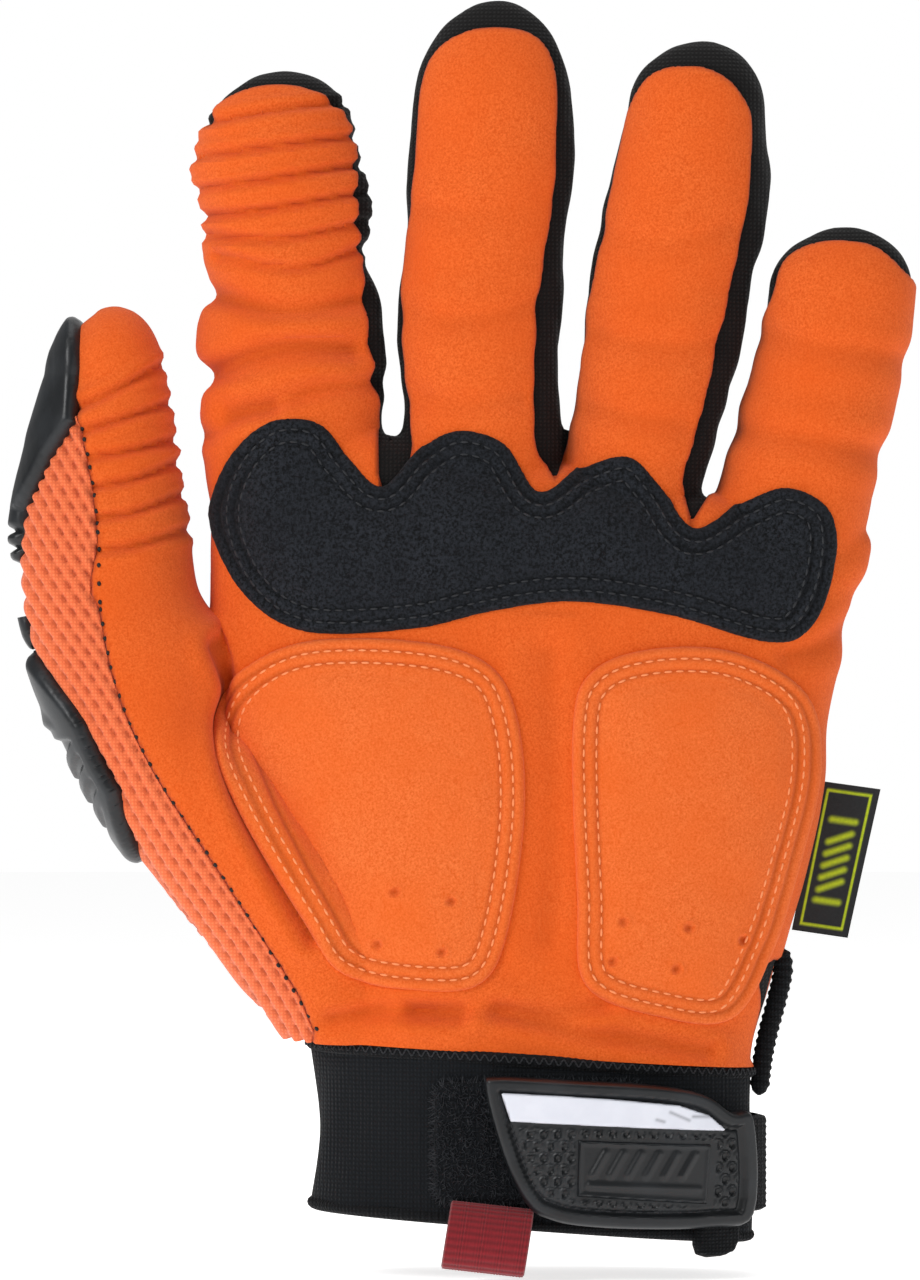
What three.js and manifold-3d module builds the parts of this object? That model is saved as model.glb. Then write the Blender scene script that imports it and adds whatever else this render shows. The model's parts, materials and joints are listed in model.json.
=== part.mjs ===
// Impact work glove for a left hand. Millimetres, +Z up towards the fingertips, palm facing -Y.
// The origin is the middle of the opening at the wrist rim.
import * as THREE from "three";
import { mergeVertices } from "three/addons/utils/BufferGeometryUtils.js";
import Module from "manifold-3d";

const wasm = await Module();
wasm.setup();

// ---------------------------------------------------------------- driving dimensions
const WALL = 2; // outer fabric and lining together
const GAP = 0.3; // clearance between pieces that are sewn side by side
const PAD = 3; // foam pad thickness
const GUARD = 3.4; // moulded rubber guard thickness
const SIDES = 20; // points round a limb
const DOME_STEPS = 3; // rings that round off a fingertip
const FAR = 300; // longer than the glove, for cutting blocks
const HINGE_GAP = 0.5; // half the clearance between two finger segments

const CUFF_WALL = 2.4;
const CUFF_TOP = [[-60, 37.2], [60, 29.4]]; // seam between cuff and palm, from left to right
const CUFF_RIM = [[-60, 3.6], [60, -5.2]]; // lower edge of the cuff
const BINDING = 2.6; // width of the bindings at both cuff edges

// A station is a cross-section of a limb: centre x and z, half width, half depth, lean in degrees.
const station = (x, z, width, depth, lean = 0) => ({ x, z, width, depth, lean });

const PALM = {
  square: 2.5,
  stations: [
    station(0.3, 22, 42.6, 21), station(0.3, 36, 43.4, 21), station(-0.6, 50, 49.5, 20.5),
    station(-2, 75, 56.5, 19.5), station(-2.3, 97, 59.3, 18.5), station(0, 118, 60.8, 17.5),
    station(1.8, 135, 62.3, 16), station(2.8, 144, 63.4, 13.5), station(2.8, 149, 62.6, 9.5),
    station(2.8, 151.5, 60, 4),
  ],
};
const CUFF = {
  square: 2.3,
  stations: [station(0.3, -12, 43, 21.5), station(0.3, 5, 43, 21.5), station(0.3, 50, 43.4, 21.3)],
};
// Each finger has a root and a middle hinge on its palm side; tip is where its dome ends.
const FINGERS = {
  index: {
    stations: [
      station(-45.2, 132, 16, 11.5), station(-45.4, 150, 16.6, 12.6), station(-46.2, 172, 17.2, 12.6),
      station(-46.6, 190, 15.8, 12.4), station(-49.3, 206, 15.4, 12.2), station(-48.8, 211, 14.9, 12),
    ],
    tip: [-47, 224.2],
    root: [-45.7, 161],
    middle: [-46.4, 182],
    lean: -1.5,
  },
  middle: {
    stations: [
      station(-9.2, 132, 16, 12), station(-9.2, 150, 16.3, 13), station(-9.6, 165, 15.4, 13),
      station(-8.8, 184, 15.8, 12.8), station(-7.2, 204, 16.2, 12.6), station(-7.3, 219, 14.9, 12),
    ],
    tip: [-6.3, 237.5],
    root: [-9.4, 161],
    middle: [-8.6, 190],
    lean: 2.2,
  },
  ring: {
    stations: [
      station(20.5, 130, 15.4, 11.5), station(22.9, 150, 15.2, 12.4), station(26, 165, 15.7, 12.4),
      station(28.4, 185, 16.2, 12.4), station(31.7, 205, 15.3, 12.2), station(33, 215, 13.6, 11.8),
    ],
    tip: [34, 229.8],
    root: [24.8, 159],
    middle: [28.6, 185],
    lean: 8.3,
  },
  little: {
    stations: [
      station(48.4, 128, 14.8, 10.5), station(52.6, 147, 13.8, 11.6), station(57.6, 165, 13.3, 11.4),
      station(60.8, 178, 13.2, 11.2), station(62.2, 183, 12.4, 10.8),
    ],
    tip: [64, 193.6],
    root: [52.8, 148],
    middle: [58.4, 169],
    lean: 13,
  },
};
const THUMB = {
  stations: [
    station(-32, 46, 14, 14, -40), station(-52.5, 72, 19.5, 17, -37), station(-68.5, 96, 19.2, 16.5, -29),
    station(-80, 120, 16.6, 14.5, -12), station(-82, 134, 15.4, 13.6, -5), station(-82.2, 150, 13.6, 12.6, 2),
    station(-81.4, 165, 11, 11, 4),
  ],
  tip: [-80.8, 176.8],
  root: [-80.2, 122],
  middle: [-82.2, 147],
  lean: -5,
};

// ---------------------------------------------------------------- solids
function solidFrom(geometry) {
  geometry.deleteAttribute("normal");
  geometry.deleteAttribute("uv");
  const merged = mergeVertices(geometry, 1e-4);
  return new wasm.Manifold(new wasm.Mesh({
    numProp: 3,
    vertProperties: new Float32Array(merged.attributes.position.array),
    triVerts: new Uint32Array(merged.index.array),
  }));
}

function geometryFrom(solid) {
  const { vertProperties, triVerts } = solid.getMesh();
  const geometry = new THREE.BufferGeometry();
  geometry.setAttribute("position", new THREE.BufferAttribute(new Float32Array(vertProperties), 3));
  geometry.setIndex(new THREE.BufferAttribute(new Uint32Array(triVerts), 1));
  geometry.computeVertexNormals();
  return geometry;
}

const joined = (solids) => solids.reduce((whole, solid) => whole.add(solid));

function ring({ x, z, width, depth, lean }, square) {
  const tilt = THREE.MathUtils.degToRad(lean);
  const soften = (value) => Math.sign(value) * Math.abs(value) ** (2 / square);
  return Array.from({ length: SIDES }, (_, i) => {
    const turn = (2 * Math.PI * i) / SIDES;
    const across = width * soften(Math.cos(turn));
    return [x + across * Math.cos(tilt), depth * soften(Math.sin(turn)), z - across * Math.sin(tilt)];
  });
}

// A closed limb through its stations, domed at its tip; grow moves its skin out or in.
function limb({ stations, tip, square = 2 }, grow = 0) {
  const swollen = stations.map((s) => ({ ...s, width: s.width + grow, depth: s.depth + grow }));
  const last = swollen.at(-1);
  if (tip) {
    const rise = Math.hypot(tip[0] - last.x, tip[1] - last.z);
    const reach = (rise + grow) / rise;
    for (let step = 1; step < DOME_STEPS; step += 1) {
      const turn = (step / DOME_STEPS) * (Math.PI / 2);
      const along = reach * Math.sin(turn);
      swollen.push({
        x: last.x + (tip[0] - last.x) * along,
        z: last.z + (tip[1] - last.z) * along,
        width: last.width * Math.cos(turn),
        depth: last.depth * Math.cos(turn),
        lean: last.lean,
      });
    }
    swollen.end = [last.x + (tip[0] - last.x) * reach, 0, last.z + (tip[1] - last.z) * reach];
  } else {
    swollen.end = [last.x, 0, last.z];
  }
  const rings = swollen.map((s) => ring(s, square));
  const corners = rings.flat();
  const start = corners.push([swollen[0].x, 0, swollen[0].z]) - 1;
  const end = corners.push(swollen.end) - 1;
  const faces = [];
  for (let i = 0; i < SIDES; i += 1) {
    const next = (i + 1) % SIDES;
    const top = (rings.length - 1) * SIDES;
    faces.push(start, next, i, end, top + i, top + next);
    for (let level = 0; level < top; level += SIDES) {
      faces.push(level + i, level + next, level + SIDES + next);
      faces.push(level + i, level + SIDES + next, level + SIDES + i);
    }
  }
  const geometry = new THREE.BufferGeometry();
  geometry.setAttribute("position", new THREE.Float32BufferAttribute(corners.flat(), 3));
  geometry.setIndex(faces);
  return solidFrom(geometry);
}

// A block whose outline is seen from the palm side, [x, z] points, from y = front to y = back.
function prism(outline, front = -FAR, back = FAR) {
  const shape = new THREE.Shape(outline.map(([x, z]) => new THREE.Vector2(x, z)));
  const geometry = new THREE.ExtrudeGeometry(shape, { depth: back - front, bevelEnabled: false, curveSegments: 8 });
  geometry.rotateX(Math.PI / 2).translate(0, back, 0);
  return solidFrom(geometry);
}

// A smooth closed outline through a few points.
function smooth(points, count) {
  const curve = new THREE.CatmullRomCurve3(points.map(([x, z]) => new THREE.Vector3(x, z, 0)), true);
  return curve.getPoints(count).slice(0, -1).map(({ x, y }) => [x, y]);
}

const block = (low, high) => {
  const size = high.map((value, axis) => value - low[axis]);
  const geometry = new THREE.BoxGeometry(...size);
  geometry.translate(...high.map((value, axis) => (value + low[axis]) / 2));
  return solidFrom(geometry);
};

// Everything beyond a hinge: a block standing on the hinge's tilted plane.
function beyond([x, z], lean, offset, reach = 40) {
  const geometry = new THREE.BoxGeometry(2 * reach, FAR, 120);
  geometry.translate(0, 0, 60 + offset);
  geometry.rotateY(THREE.MathUtils.degToRad(lean)).translate(x, 0, z);
  return solidFrom(geometry);
}

// Everything above or below a line that runs across the glove.
const above = ([[x0, z0], [x1, z1]], rise = 0) =>
  prism([[x0, z0 + rise], [x1, z1 + rise], [x1, FAR], [x0, FAR]]);
const below = ([[x0, z0], [x1, z1]], rise = 0) =>
  prism([[x0, -FAR], [x1, -FAR], [x1, z1 + rise], [x0, z0 + rise]]);

const PALM_SIDE = block([-FAR, -FAR, -FAR], [FAR, -GAP / 2, FAR]);
const BACK_SIDE = block([-FAR, GAP / 2, -FAR], [FAR, FAR, FAR]);

const DIGITS = { ...FINGERS, thumb: THUMB };
const handSkins = new Map();

// The room that the moving segments fill, with their running clearance.
const movingRoom = joined(Object.values(DIGITS).map((digit) =>
  limb(digit, 2 * GAP).intersect(beyond(digit.root, digit.lean, 0))));

// The hand's whole outer form, without the moving segments, its skin moved out by grow.
function hand(grow) {
  if (!handSkins.has(grow)) {
    const stubs = Object.values(DIGITS).map((digit) =>
      limb(digit, grow).subtract(beyond(digit.root, digit.lean, -HINGE_GAP)));
    handSkins.set(grow, joined([limb(PALM, grow), ...stubs]).subtract(movingRoom));
  }
  return handSkins.get(grow);
}

const handLayer = (inner, outer) => hand(outer).subtract(hand(inner));
const layer = (shape, inner, outer) => limb(shape, outer).subtract(limb(shape, inner));

// ---------------------------------------------------------------- materials
const finish = (color, roughness, metalness = 0) => new THREE.MeshStandardMaterial({ color, roughness, metalness });
const MATERIALS = {
  orangeSuede: finish("#f0691f", 0.9),
  orangeKnit: finish("#f5784a", 0.85),
  blackSuede: finish("#2a2b2e", 0.9),
  blackKnit: finish("#1b1a19", 0.9),
  rubber: finish("#2e3134", 0.55),
  redWebbing: finish("#9e1420", 0.8),
  reflective: finish("#e6e9f2", 0.35),
  label: finish("#1a1c1c", 0.8),
};

function piece(name, solid, material) {
  const mesh = new THREE.Mesh(geometryFrom(solid), MATERIALS[material]);
  mesh.name = name;
  return mesh;
}

// ---------------------------------------------------------------- palm and back
const KNUCKLE_OUTLINE = smooth([
  [-61, 136], [-58, 148], [-50, 155.4], [-41, 155], [-35, 148], [-28.6, 142.6], [-22, 149], [-14, 153.6],
  [-5, 151], [1.5, 141.4], [10, 146], [19, 148.6], [25, 143], [31.5, 134.4], [41, 139.2], [50, 142.6],
  [58, 138], [58.6, 127], [54, 115.6], [46, 112.6], [27, 117.8], [8, 120.4], [-8, 118.4], [-22, 115.2],
  [-43, 114.6], [-55, 122],
], 36);
const THENAR_OUTLINE = smooth([
  [-44, 112.6], [-22, 112.8], [-8, 108.4], [-2.4, 98], [-1, 80], [-4, 58], [-9, 47.2], [-20, 45.4],
  [-36, 48.6], [-44, 59.4], [-56, 80], [-61.2, 94], [-57, 105.4],
], 36);
const HYPOTHENAR_OUTLINE = smooth([
  [8.2, 96], [12, 107], [24, 111.4], [40, 110.6], [53, 102.6], [55.4, 88], [51.4, 70], [45.8, 52.6],
  [38.2, 40], [25, 40.4], [10.6, 46.6], [9, 64],
], 32);
const KNIT_SEAM = [
  [-86, 128], [-82.8, 119], [-79.8, 104], [-72.5, 87.5], [-57.3, 64.2], [-41.5, 38],
];
const BACK_GUARD_OUTLINE = smooth([
  [-54, 112], [-56, 134], [-46, 150], [-28, 141], [-9, 153], [8, 141], [24, 149], [38, 134], [52, 138],
  [54, 122], [40, 108], [0, 100], [-40, 102],
], 36);
const BACK_GUARD_FLAT = 20.4; // height of the knuckle guard's flat top over the glove's middle plane

const knitSide = prism([...KNIT_SEAM, [-60, 20], [-140, 60], [-140, 128]], -FAR, 0);
const shell = hand(0)
  .subtract(joined([limb(PALM, -WALL), ...Object.values(DIGITS).map((digit) => limb(digit, -WALL))]))
  .subtract(below(CUFF_TOP, GAP));
const palmShell = shell.intersect(PALM_SIDE);

function fromPalmSide(outline, thickness, front = -FAR, back = -2) {
  return handLayer(GAP, GAP + thickness).intersect(prism(outline, front, back));
}

const handGroup = new THREE.Group();
handGroup.add(
  piece("palm_panel", palmShell.subtract(knitSide), "orangeSuede"),
  piece("thumb_side_knit", palmShell.intersect(knitSide).subtract(prism(
    KNIT_SEAM.map(([x, z]) => [x - GAP, z]).concat([[0, 20], [0, 128]]),
  )), "orangeKnit"),
  piece("back_panel", shell.intersect(BACK_SIDE), "orangeKnit"),
  piece("knuckle_pad", fromPalmSide(KNUCKLE_OUTLINE, PAD), "blackSuede"),
  piece("thenar_pad", fromPalmSide(THENAR_OUTLINE, PAD), "orangeSuede"),
  piece("hypothenar_pad", fromPalmSide(HYPOTHENAR_OUTLINE, PAD), "orangeSuede"),
  piece("knuckle_guard", handLayer(GAP, GAP + GUARD + 1.5)
    .intersect(prism(BACK_GUARD_OUTLINE, 4, BACK_GUARD_FLAT)), "rubber"),
);

// The thumb guard wraps the outer edge of the thumb's root; its upper part rides on the thumb.
const GUARD_EDGE = [[-99, 122], [-95.4, 111], [-86.5, 100], [-79.5, 88], [-77.7, 78], [-75, 69.6]];
const GUARD_WRAP = 12; // how far round the edge the guard reaches, to palm and back
handGroup.add(piece("thumb_guard_root", handLayer(GAP, GAP + GUARD).intersect(prism(
  [...GUARD_EDGE, [-140, 69.6], [-140, 121], [-99, 121]].slice(1), -GUARD_WRAP, GUARD_WRAP,
)), "rubber"));

const gussetPlace = prism([[43.6, 33.6], [60, 33], [60, 54], [49.5, 54]], -9, 9);
handGroup.add(piece("vent_gusset", handLayer(GAP, GAP + 1.6).intersect(gussetPlace), "blackKnit"));

// ---------------------------------------------------------------- cuff
const cuffRing = (inner, outer, low, lowRise, high, highRise) =>
  layer(CUFF, inner, outer).intersect(above(low, lowRise)).intersect(below(high, highRise));

handGroup.add(
  piece("cuff_band", cuffRing(-CUFF_WALL, 0, CUFF_RIM, BINDING + GAP, CUFF_TOP, -BINDING - GAP), "blackKnit"),
  piece("cuff_rim_binding", cuffRing(-CUFF_WALL - 0.5, 0.5, CUFF_RIM, 0, CUFF_RIM, BINDING), "blackKnit"),
  piece("cuff_top_binding", cuffRing(-CUFF_WALL - 0.5, 0.7, CUFF_TOP, -BINDING, CUFF_TOP, 0), "blackKnit"),
);

// Layers of the closure, counted outwards from the cuff band.
const PATCH = [GAP + 0.6, 2];
const HOOK = [2.3, 3.4];
const TAB = [3.7, 6.6];
const TRIM = [6.9, 7.6];
const TAB_HINGE_X = 43;
const onCuff = ([inner, outer], outline) => layer(CUFF, inner, outer).intersect(prism(outline, -FAR, -2));
const rectangle = (x0, z0, x1, z1) => [[x0, z0], [x1, z0], [x1, z1], [x0, z1]];

handGroup.add(
  piece("loop_patch", onCuff(PATCH, rectangle(-18.5, 5, 22, 27)), "blackKnit"),
  piece("closure_strap", layer(CUFF, 1, 2.8).intersect(joined([
    prism(rectangle(TAB_HINGE_X + 1.2, 2.5, 70, 20.5), -12, 2),
    prism(rectangle(18, 2.5, 70, 20.5), 1.9, FAR),
  ])), "blackKnit"),
);

const TAB_OUTLINE = [
  [-8.7, 28], [-6.2, 29.4], [6, 28.6], [22.3, 27.6], [30.2, 26.4], [34.4, 24.8], [38, 22], [TAB_HINGE_X - 1, 20.5],
  [TAB_HINGE_X - 1, 2], [34, -0.2], [20, -0.2], [8.8, 0.6], [3.3, 1.9], [0, 3.8], [-3.3, 9], [-6.5, 17.9],
];
const closure = new THREE.Group();
closure.add(
  piece("closure_tab", onCuff(TAB, TAB_OUTLINE), "rubber"),
  piece("hook_patch", onCuff(HOOK, rectangle(1, 6, 26, 22)), "blackKnit"),
  piece("reflective_inlay", onCuff(TRIM, [
    [-5.6, 26.4], [-3.6, 20.6], [37, 18.4], [33.4, 22], [28, 23.6], [6, 25.4],
  ]), "reflective"),
  piece("tab_plate", onCuff(TRIM, [[9.2, 17.1], [34.6, 16], [33.8, 4.4], [8.9, 6.2]]), "rubber"),
);

// ---------------------------------------------------------------- pull loop and side label
const LOOP = { left: -16, right: -2, top: 2.4, bottom: -8.4, front: -31.4, back: -24, wall: 1.3 };
function loopBlock(inset) {
  const { front, back, bottom, top } = LOOP;
  const shape = new THREE.Shape();
  const radius = 2.4 - inset / 2;
  const [y0, y1, z0, z1] = [front + inset, back - inset, bottom + inset, top - inset];
  shape.moveTo(y0 + radius, z0);
  shape.lineTo(y1 - radius, z0).absarc(y1 - radius, z0 + radius, radius, -Math.PI / 2, 0, false);
  shape.lineTo(y1, z1 - radius).absarc(y1 - radius, z1 - radius, radius, 0, Math.PI / 2, false);
  shape.lineTo(y0 + radius, z1).absarc(y0 + radius, z1 - radius, radius, Math.PI / 2, Math.PI, false);
  shape.lineTo(y0, z0 + radius).absarc(y0 + radius, z0 + radius, radius, Math.PI, Math.PI * 1.5, false);
  const length = LOOP.right - LOOP.left + (inset > 0 ? 4 : 0);
  const geometry = new THREE.ExtrudeGeometry(shape, { depth: length, bevelEnabled: false, curveSegments: 4 });
  // The outline is drawn in y and z and extruded along x.
  geometry.applyMatrix4(new THREE.Matrix4().set(0, 0, 1, 0, 1, 0, 0, 0, 0, 1, 0, 0, 0, 0, 0, 1));
  geometry.translate(LOOP.left - (inset > 0 ? 2 : 0), 0, 0);
  return solidFrom(geometry);
}
const pullLoop = new THREE.Group();
pullLoop.add(piece("pull_loop", loopBlock(0).subtract(loopBlock(LOOP.wall)), "redWebbing"));

const sideLabel = new THREE.Group();
sideLabel.add(piece("side_label", prism([[57.6, 85.6], [68.5, 84], [62.1, 55], [51.6, 56.6]], -0.6, 0.6)
  .subtract(hand(1)), "label"));

// ---------------------------------------------------------------- fingers and thumb
const FINGER_GUARD = 2.6;

// The oval guard on the back of a segment, from one end to the other along the finger.
function backGuard(digit, from, to, width) {
  const along = ([x, z], step) => [x + step * Math.sin(THREE.MathUtils.degToRad(digit.lean)), z + step];
  const [low, high] = [along(from, 3.5), along(to, -3.5)];
  const outline = smooth([
    [low[0] - width, low[1] + 2], [low[0], low[1]], [low[0] + width, low[1] + 2],
    [high[0] + width, high[1] - 2], [high[0], high[1]], [high[0] - width, high[1] - 2],
  ], 14);
  return layer(digit, GAP, GAP + FINGER_GUARD).intersect(prism(outline, 4, FAR));
}

function segments(name, digit, material) {
  const skin = layer(digit, -WALL, 0);
  const beyondRoot = beyond(digit.root, digit.lean, HINGE_GAP);
  const base = skin.intersect(beyondRoot).subtract(beyond(digit.middle, digit.lean, -HINGE_GAP));
  const tip = skin.intersect(beyond(digit.middle, digit.lean, HINGE_GAP));
  const baseGroup = new THREE.Group();
  const tipGroup = new THREE.Group();
  baseGroup.add(
    piece(`${name}_base_palm`, base.intersect(PALM_SIDE), material),
    piece(`${name}_base_back`, base.intersect(BACK_SIDE), "orangeKnit"),
  );
  tipGroup.add(
    piece(`${name}_tip_palm`, tip.intersect(PALM_SIDE), material),
    piece(`${name}_tip_back`, tip.intersect(BACK_SIDE), "orangeKnit"),
  );
  return [baseGroup, tipGroup];
}

const digitGroups = Object.entries(FINGERS).flatMap(([name, digit]) => {
  const [baseGroup, tipGroup] = segments(name, digit, "orangeSuede");
  const { root, middle, tip } = digit;
  baseGroup.add(piece(`${name}_guard`, backGuard(digit, root, middle, 8), "rubber"));
  tipGroup.add(piece(`${name}_tip_guard`, backGuard(digit, middle, [tip[0], tip[1] - 8], 7.5), "rubber"));
  return [baseGroup, tipGroup];
});

const [thumbBase, thumbTip] = segments("thumb", THUMB, "orangeSuede");
const thumbGuard = layer(THUMB, GAP, GAP + GUARD).intersect(prism([
  [-98.6, 123.8], [-97.9, 130], [-97, 138], [-92, 148], [-87.4, 155], [-86.6, 166], [-86.6, 178],
  [-140, 178], [-140, 123.8],
], -GUARD_WRAP, GUARD_WRAP));
thumbBase.add(piece("thumb_guard_middle",
  thumbGuard.subtract(beyond(THUMB.middle, THUMB.lean, -1.2)), "rubber"));
thumbTip.add(piece("thumb_guard_tip", thumbGuard.intersect(beyond(THUMB.middle, THUMB.lean, 1.2)), "rubber"));

const glove = new THREE.Group();
glove.add(handGroup, closure, pullLoop, sideLabel, ...digitGroups, thumbBase, thumbTip);

export default glove;
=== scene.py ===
# %% [markdown]
# # A left-hand impact work glove
# The glove is sewn from flat panels round a hand. Orange suede covers the palm side, black stretch knit
# walls the fingers, and orange ribbed knit covers the back. Foam pads and moulded rubber guards are sewn
# on top. The imported CAD model is the fixed frame: its bodies carry most of what is made here.

# %% Load the frame
import json
import math

import bpy
import numpy as np
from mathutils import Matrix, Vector
from mathutils.bvhtree import BVHTree


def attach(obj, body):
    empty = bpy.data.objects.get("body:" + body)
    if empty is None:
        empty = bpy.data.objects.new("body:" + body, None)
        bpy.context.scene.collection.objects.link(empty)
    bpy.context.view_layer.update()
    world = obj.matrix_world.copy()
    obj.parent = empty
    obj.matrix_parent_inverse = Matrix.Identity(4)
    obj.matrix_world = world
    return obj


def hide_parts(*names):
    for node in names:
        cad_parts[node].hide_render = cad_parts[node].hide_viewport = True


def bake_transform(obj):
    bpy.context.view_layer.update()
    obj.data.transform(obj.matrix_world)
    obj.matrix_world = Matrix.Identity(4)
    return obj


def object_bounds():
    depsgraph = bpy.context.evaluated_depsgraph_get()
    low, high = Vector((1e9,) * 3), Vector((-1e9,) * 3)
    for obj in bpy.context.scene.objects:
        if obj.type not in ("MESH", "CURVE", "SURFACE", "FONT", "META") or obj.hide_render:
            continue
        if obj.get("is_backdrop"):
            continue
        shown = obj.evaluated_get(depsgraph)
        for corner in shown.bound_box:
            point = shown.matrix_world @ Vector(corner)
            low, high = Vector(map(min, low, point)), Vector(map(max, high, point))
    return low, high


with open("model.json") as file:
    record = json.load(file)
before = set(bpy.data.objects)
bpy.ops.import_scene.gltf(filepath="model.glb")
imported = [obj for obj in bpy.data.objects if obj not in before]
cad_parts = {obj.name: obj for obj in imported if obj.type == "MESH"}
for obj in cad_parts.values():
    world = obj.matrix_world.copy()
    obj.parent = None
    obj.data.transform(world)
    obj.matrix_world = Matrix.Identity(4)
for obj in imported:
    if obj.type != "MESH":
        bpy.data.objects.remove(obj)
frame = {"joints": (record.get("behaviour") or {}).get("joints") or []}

CAD_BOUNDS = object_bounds()
MM = 0.001
HINGES = {joint["name"]: np.array(joint["pos_m"]) / MM for joint in frame["joints"]}
print("CAD box in mm:", [[round(c / MM, 1) for c in corner] for corner in CAD_BOUNDS])

# %% [markdown]
# ## Small helpers
# Everything is worked out in millimetres with numpy, and only turned into a Blender mesh at the end.
# A `Skin` is a triangle mesh with some named numbers on each vertex. Cutting a skin where one of those
# numbers passes zero gives a clean edge that two neighbouring panels share exactly, as a seam does.

# %% A skin and how it is cut
class Skin:
    """Vertices, outward normals and named values in millimetres, with triangles."""

    def __init__(self, points, normals, faces, values=None):
        self.points, self.normals, self.faces = points, normals, faces
        self.values = dict(values or {})

    def mixed(self, pairs, share):
        """The points on the edges in pairs, share of the way along each."""
        low, high = pairs[:, 0], pairs[:, 1]
        blend = lambda a: a[low] + (a[high] - a[low]) * (share if a.ndim == 1 else share[:, None])
        normals = blend(self.normals)
        normals /= np.linalg.norm(normals, axis=1)[:, None] + 1e-12
        return blend(self.points), normals, {k: blend(v) for k, v in self.values.items()}

    def grown(self, extra, faces):
        """This skin with extra vertices and new faces, without the vertices that no face uses."""
        points, normals, values = extra
        points = np.vstack([self.points, points])
        normals = np.vstack([self.normals, normals])
        values = {k: np.concatenate([v, values[k]]) for k, v in self.values.items()}
        used, faces = np.unique(faces, return_inverse=True)
        faces = faces.reshape(-1, 3)
        return Skin(points[used], normals[used], faces, {k: v[used] for k, v in values.items()})

    def cut(self, field):
        """The part where field is above zero."""
        field = np.where(np.abs(field) < 1e-4, 1e-4, field)
        above = field > 0
        count = above[self.faces].sum(1)
        whole = self.faces[count == 3]
        mixed = self.faces[(count == 1) | (count == 2)]
        if len(mixed) == 0:
            empty = np.zeros((0, 2), int)
            return self.grown(self.mixed(empty, np.zeros(0)), whole)
        one = above[mixed].sum(1) == 1
        odd = np.where(one[:, None], above[mixed], ~above[mixed]).argmax(1)
        rows = np.arange(len(mixed))
        a, b, c = (mixed[rows, (odd + k) % 3] for k in range(3))
        sides = np.concatenate([np.stack([a, b], 1), np.stack([a, c], 1)])
        keys, place = np.unique(np.sort(sides, 1), axis=0, return_inverse=True)
        place = place.reshape(-1) + len(self.points)
        share = field[keys[:, 0]] / (field[keys[:, 0]] - field[keys[:, 1]])
        ab, ac = place[: len(mixed)], place[len(mixed):]
        corner = np.stack([a, ab, ac], 1)[one]
        quads = ~one
        first = np.stack([ab, b, c], 1)[quads]
        second = np.stack([ab, c, ac], 1)[quads]
        return self.grown(self.mixed(keys, share), np.vstack([whole, corner, first, second]))

    def finer(self):
        """Every triangle split in four."""
        sides = np.sort(np.vstack([self.faces[:, [0, 1]], self.faces[:, [1, 2]], self.faces[:, [2, 0]]]), 1)
        keys, place = np.unique(sides, axis=0, return_inverse=True)
        ab, bc, ca = place.reshape(3, -1) + len(self.points)
        a, b, c = self.faces.T
        faces = np.vstack([np.stack(t, 1) for t in ((a, ab, ca), (ab, b, bc), (ca, bc, c), (ab, bc, ca))])
        return self.grown(self.mixed(keys, np.full(len(keys), 0.5)), faces)


def smoothstep(value, low, high):
    t = np.clip((value - low) / (high - low), 0, 1)
    return t * t * (3 - 2 * t)


def in_scene(name, data):
    """A new object at the origin, linked into the scene."""
    made = bpy.data.objects.new(name, data)
    bpy.context.scene.collection.objects.link(made)
    return made


# %% Outlines and distances
def spline_stretch(corners, t):
    """The stretch between the middle two of four corners (Catmull-Rom), at shares t of the way."""
    a, b, c, d = corners
    return 0.5 * (2 * b + (c - a) * t + (2 * a - 5 * b + 4 * c - d) * t**2 + (3 * b - a - 3 * c + d) * t**3)


def closed_curve(points, per_side=6):
    """A smooth closed loop through given corners."""
    p = np.array(points, float)
    t = np.arange(per_side)[:, None] / per_side
    return np.vstack([spline_stretch([p[(i + k) % len(p)] for k in (-1, 0, 1, 2)], t) for i in range(len(p))])


def open_curve(points, per_side=8):
    """A smooth open line through given points."""
    p = np.array(points, float)
    padded = np.vstack([2 * p[0] - p[1], p, 2 * p[-1] - p[-2]])
    t = np.arange(per_side)[:, None] / per_side
    return np.vstack([spline_stretch(padded[i:i + 4], t) for i in range(len(p) - 1)] + [p[-1:]])


def segment_distance(points, start, end, block=8192):
    """Distance in the plane from each point to the nearest of many segments."""
    nearest = np.empty(len(points))
    along = end - start
    length = (along**2).sum(1) + 1e-12
    for s in range(0, len(points), block):
        offset = points[s:s + block, None, :] - start
        t = np.clip((offset * along).sum(2) / length, 0, 1)
        nearest[s:s + block] = np.sqrt(((offset - t[..., None] * along) ** 2).sum(2).min(1))
    return nearest


def inside(points, loop, block=8192):
    """Distance to a closed loop, positive inside it."""
    start, end = loop, np.roll(loop, -1, axis=0)
    distance = segment_distance(points, start, end)
    for s in range(0, len(points), block):
        x, z = points[s:s + block, 0, None], points[s:s + block, 1, None]
        crosses = (start[:, 1] > z) != (end[:, 1] > z)
        slope = (end[:, 0] - start[:, 0]) / (end[:, 1] - start[:, 1] + 1e-12)
        hits = crosses & (x < slope * (z - start[:, 1]) + start[:, 0])
        outside = hits.sum(1) % 2 == 0
        distance[s:s + block][outside] *= -1
    return distance


def line_distance(points, line):
    line = np.array(line, float)
    return segment_distance(points, line[:-1], line[1:])


# %% [markdown]
# ## The filled hand
# A glove has no shape of its own, so the first thing made is the hand inside it, with the fabric on. Each
# digit and the palm are stacks of flat oval slices: height, left edge, right edge, half depth and how far
# the slice sits towards the palm. Overlapping closed stacks are then fused by a voxel remesh, which also
# rounds the webs between the fingers as stretched fabric does.

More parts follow.
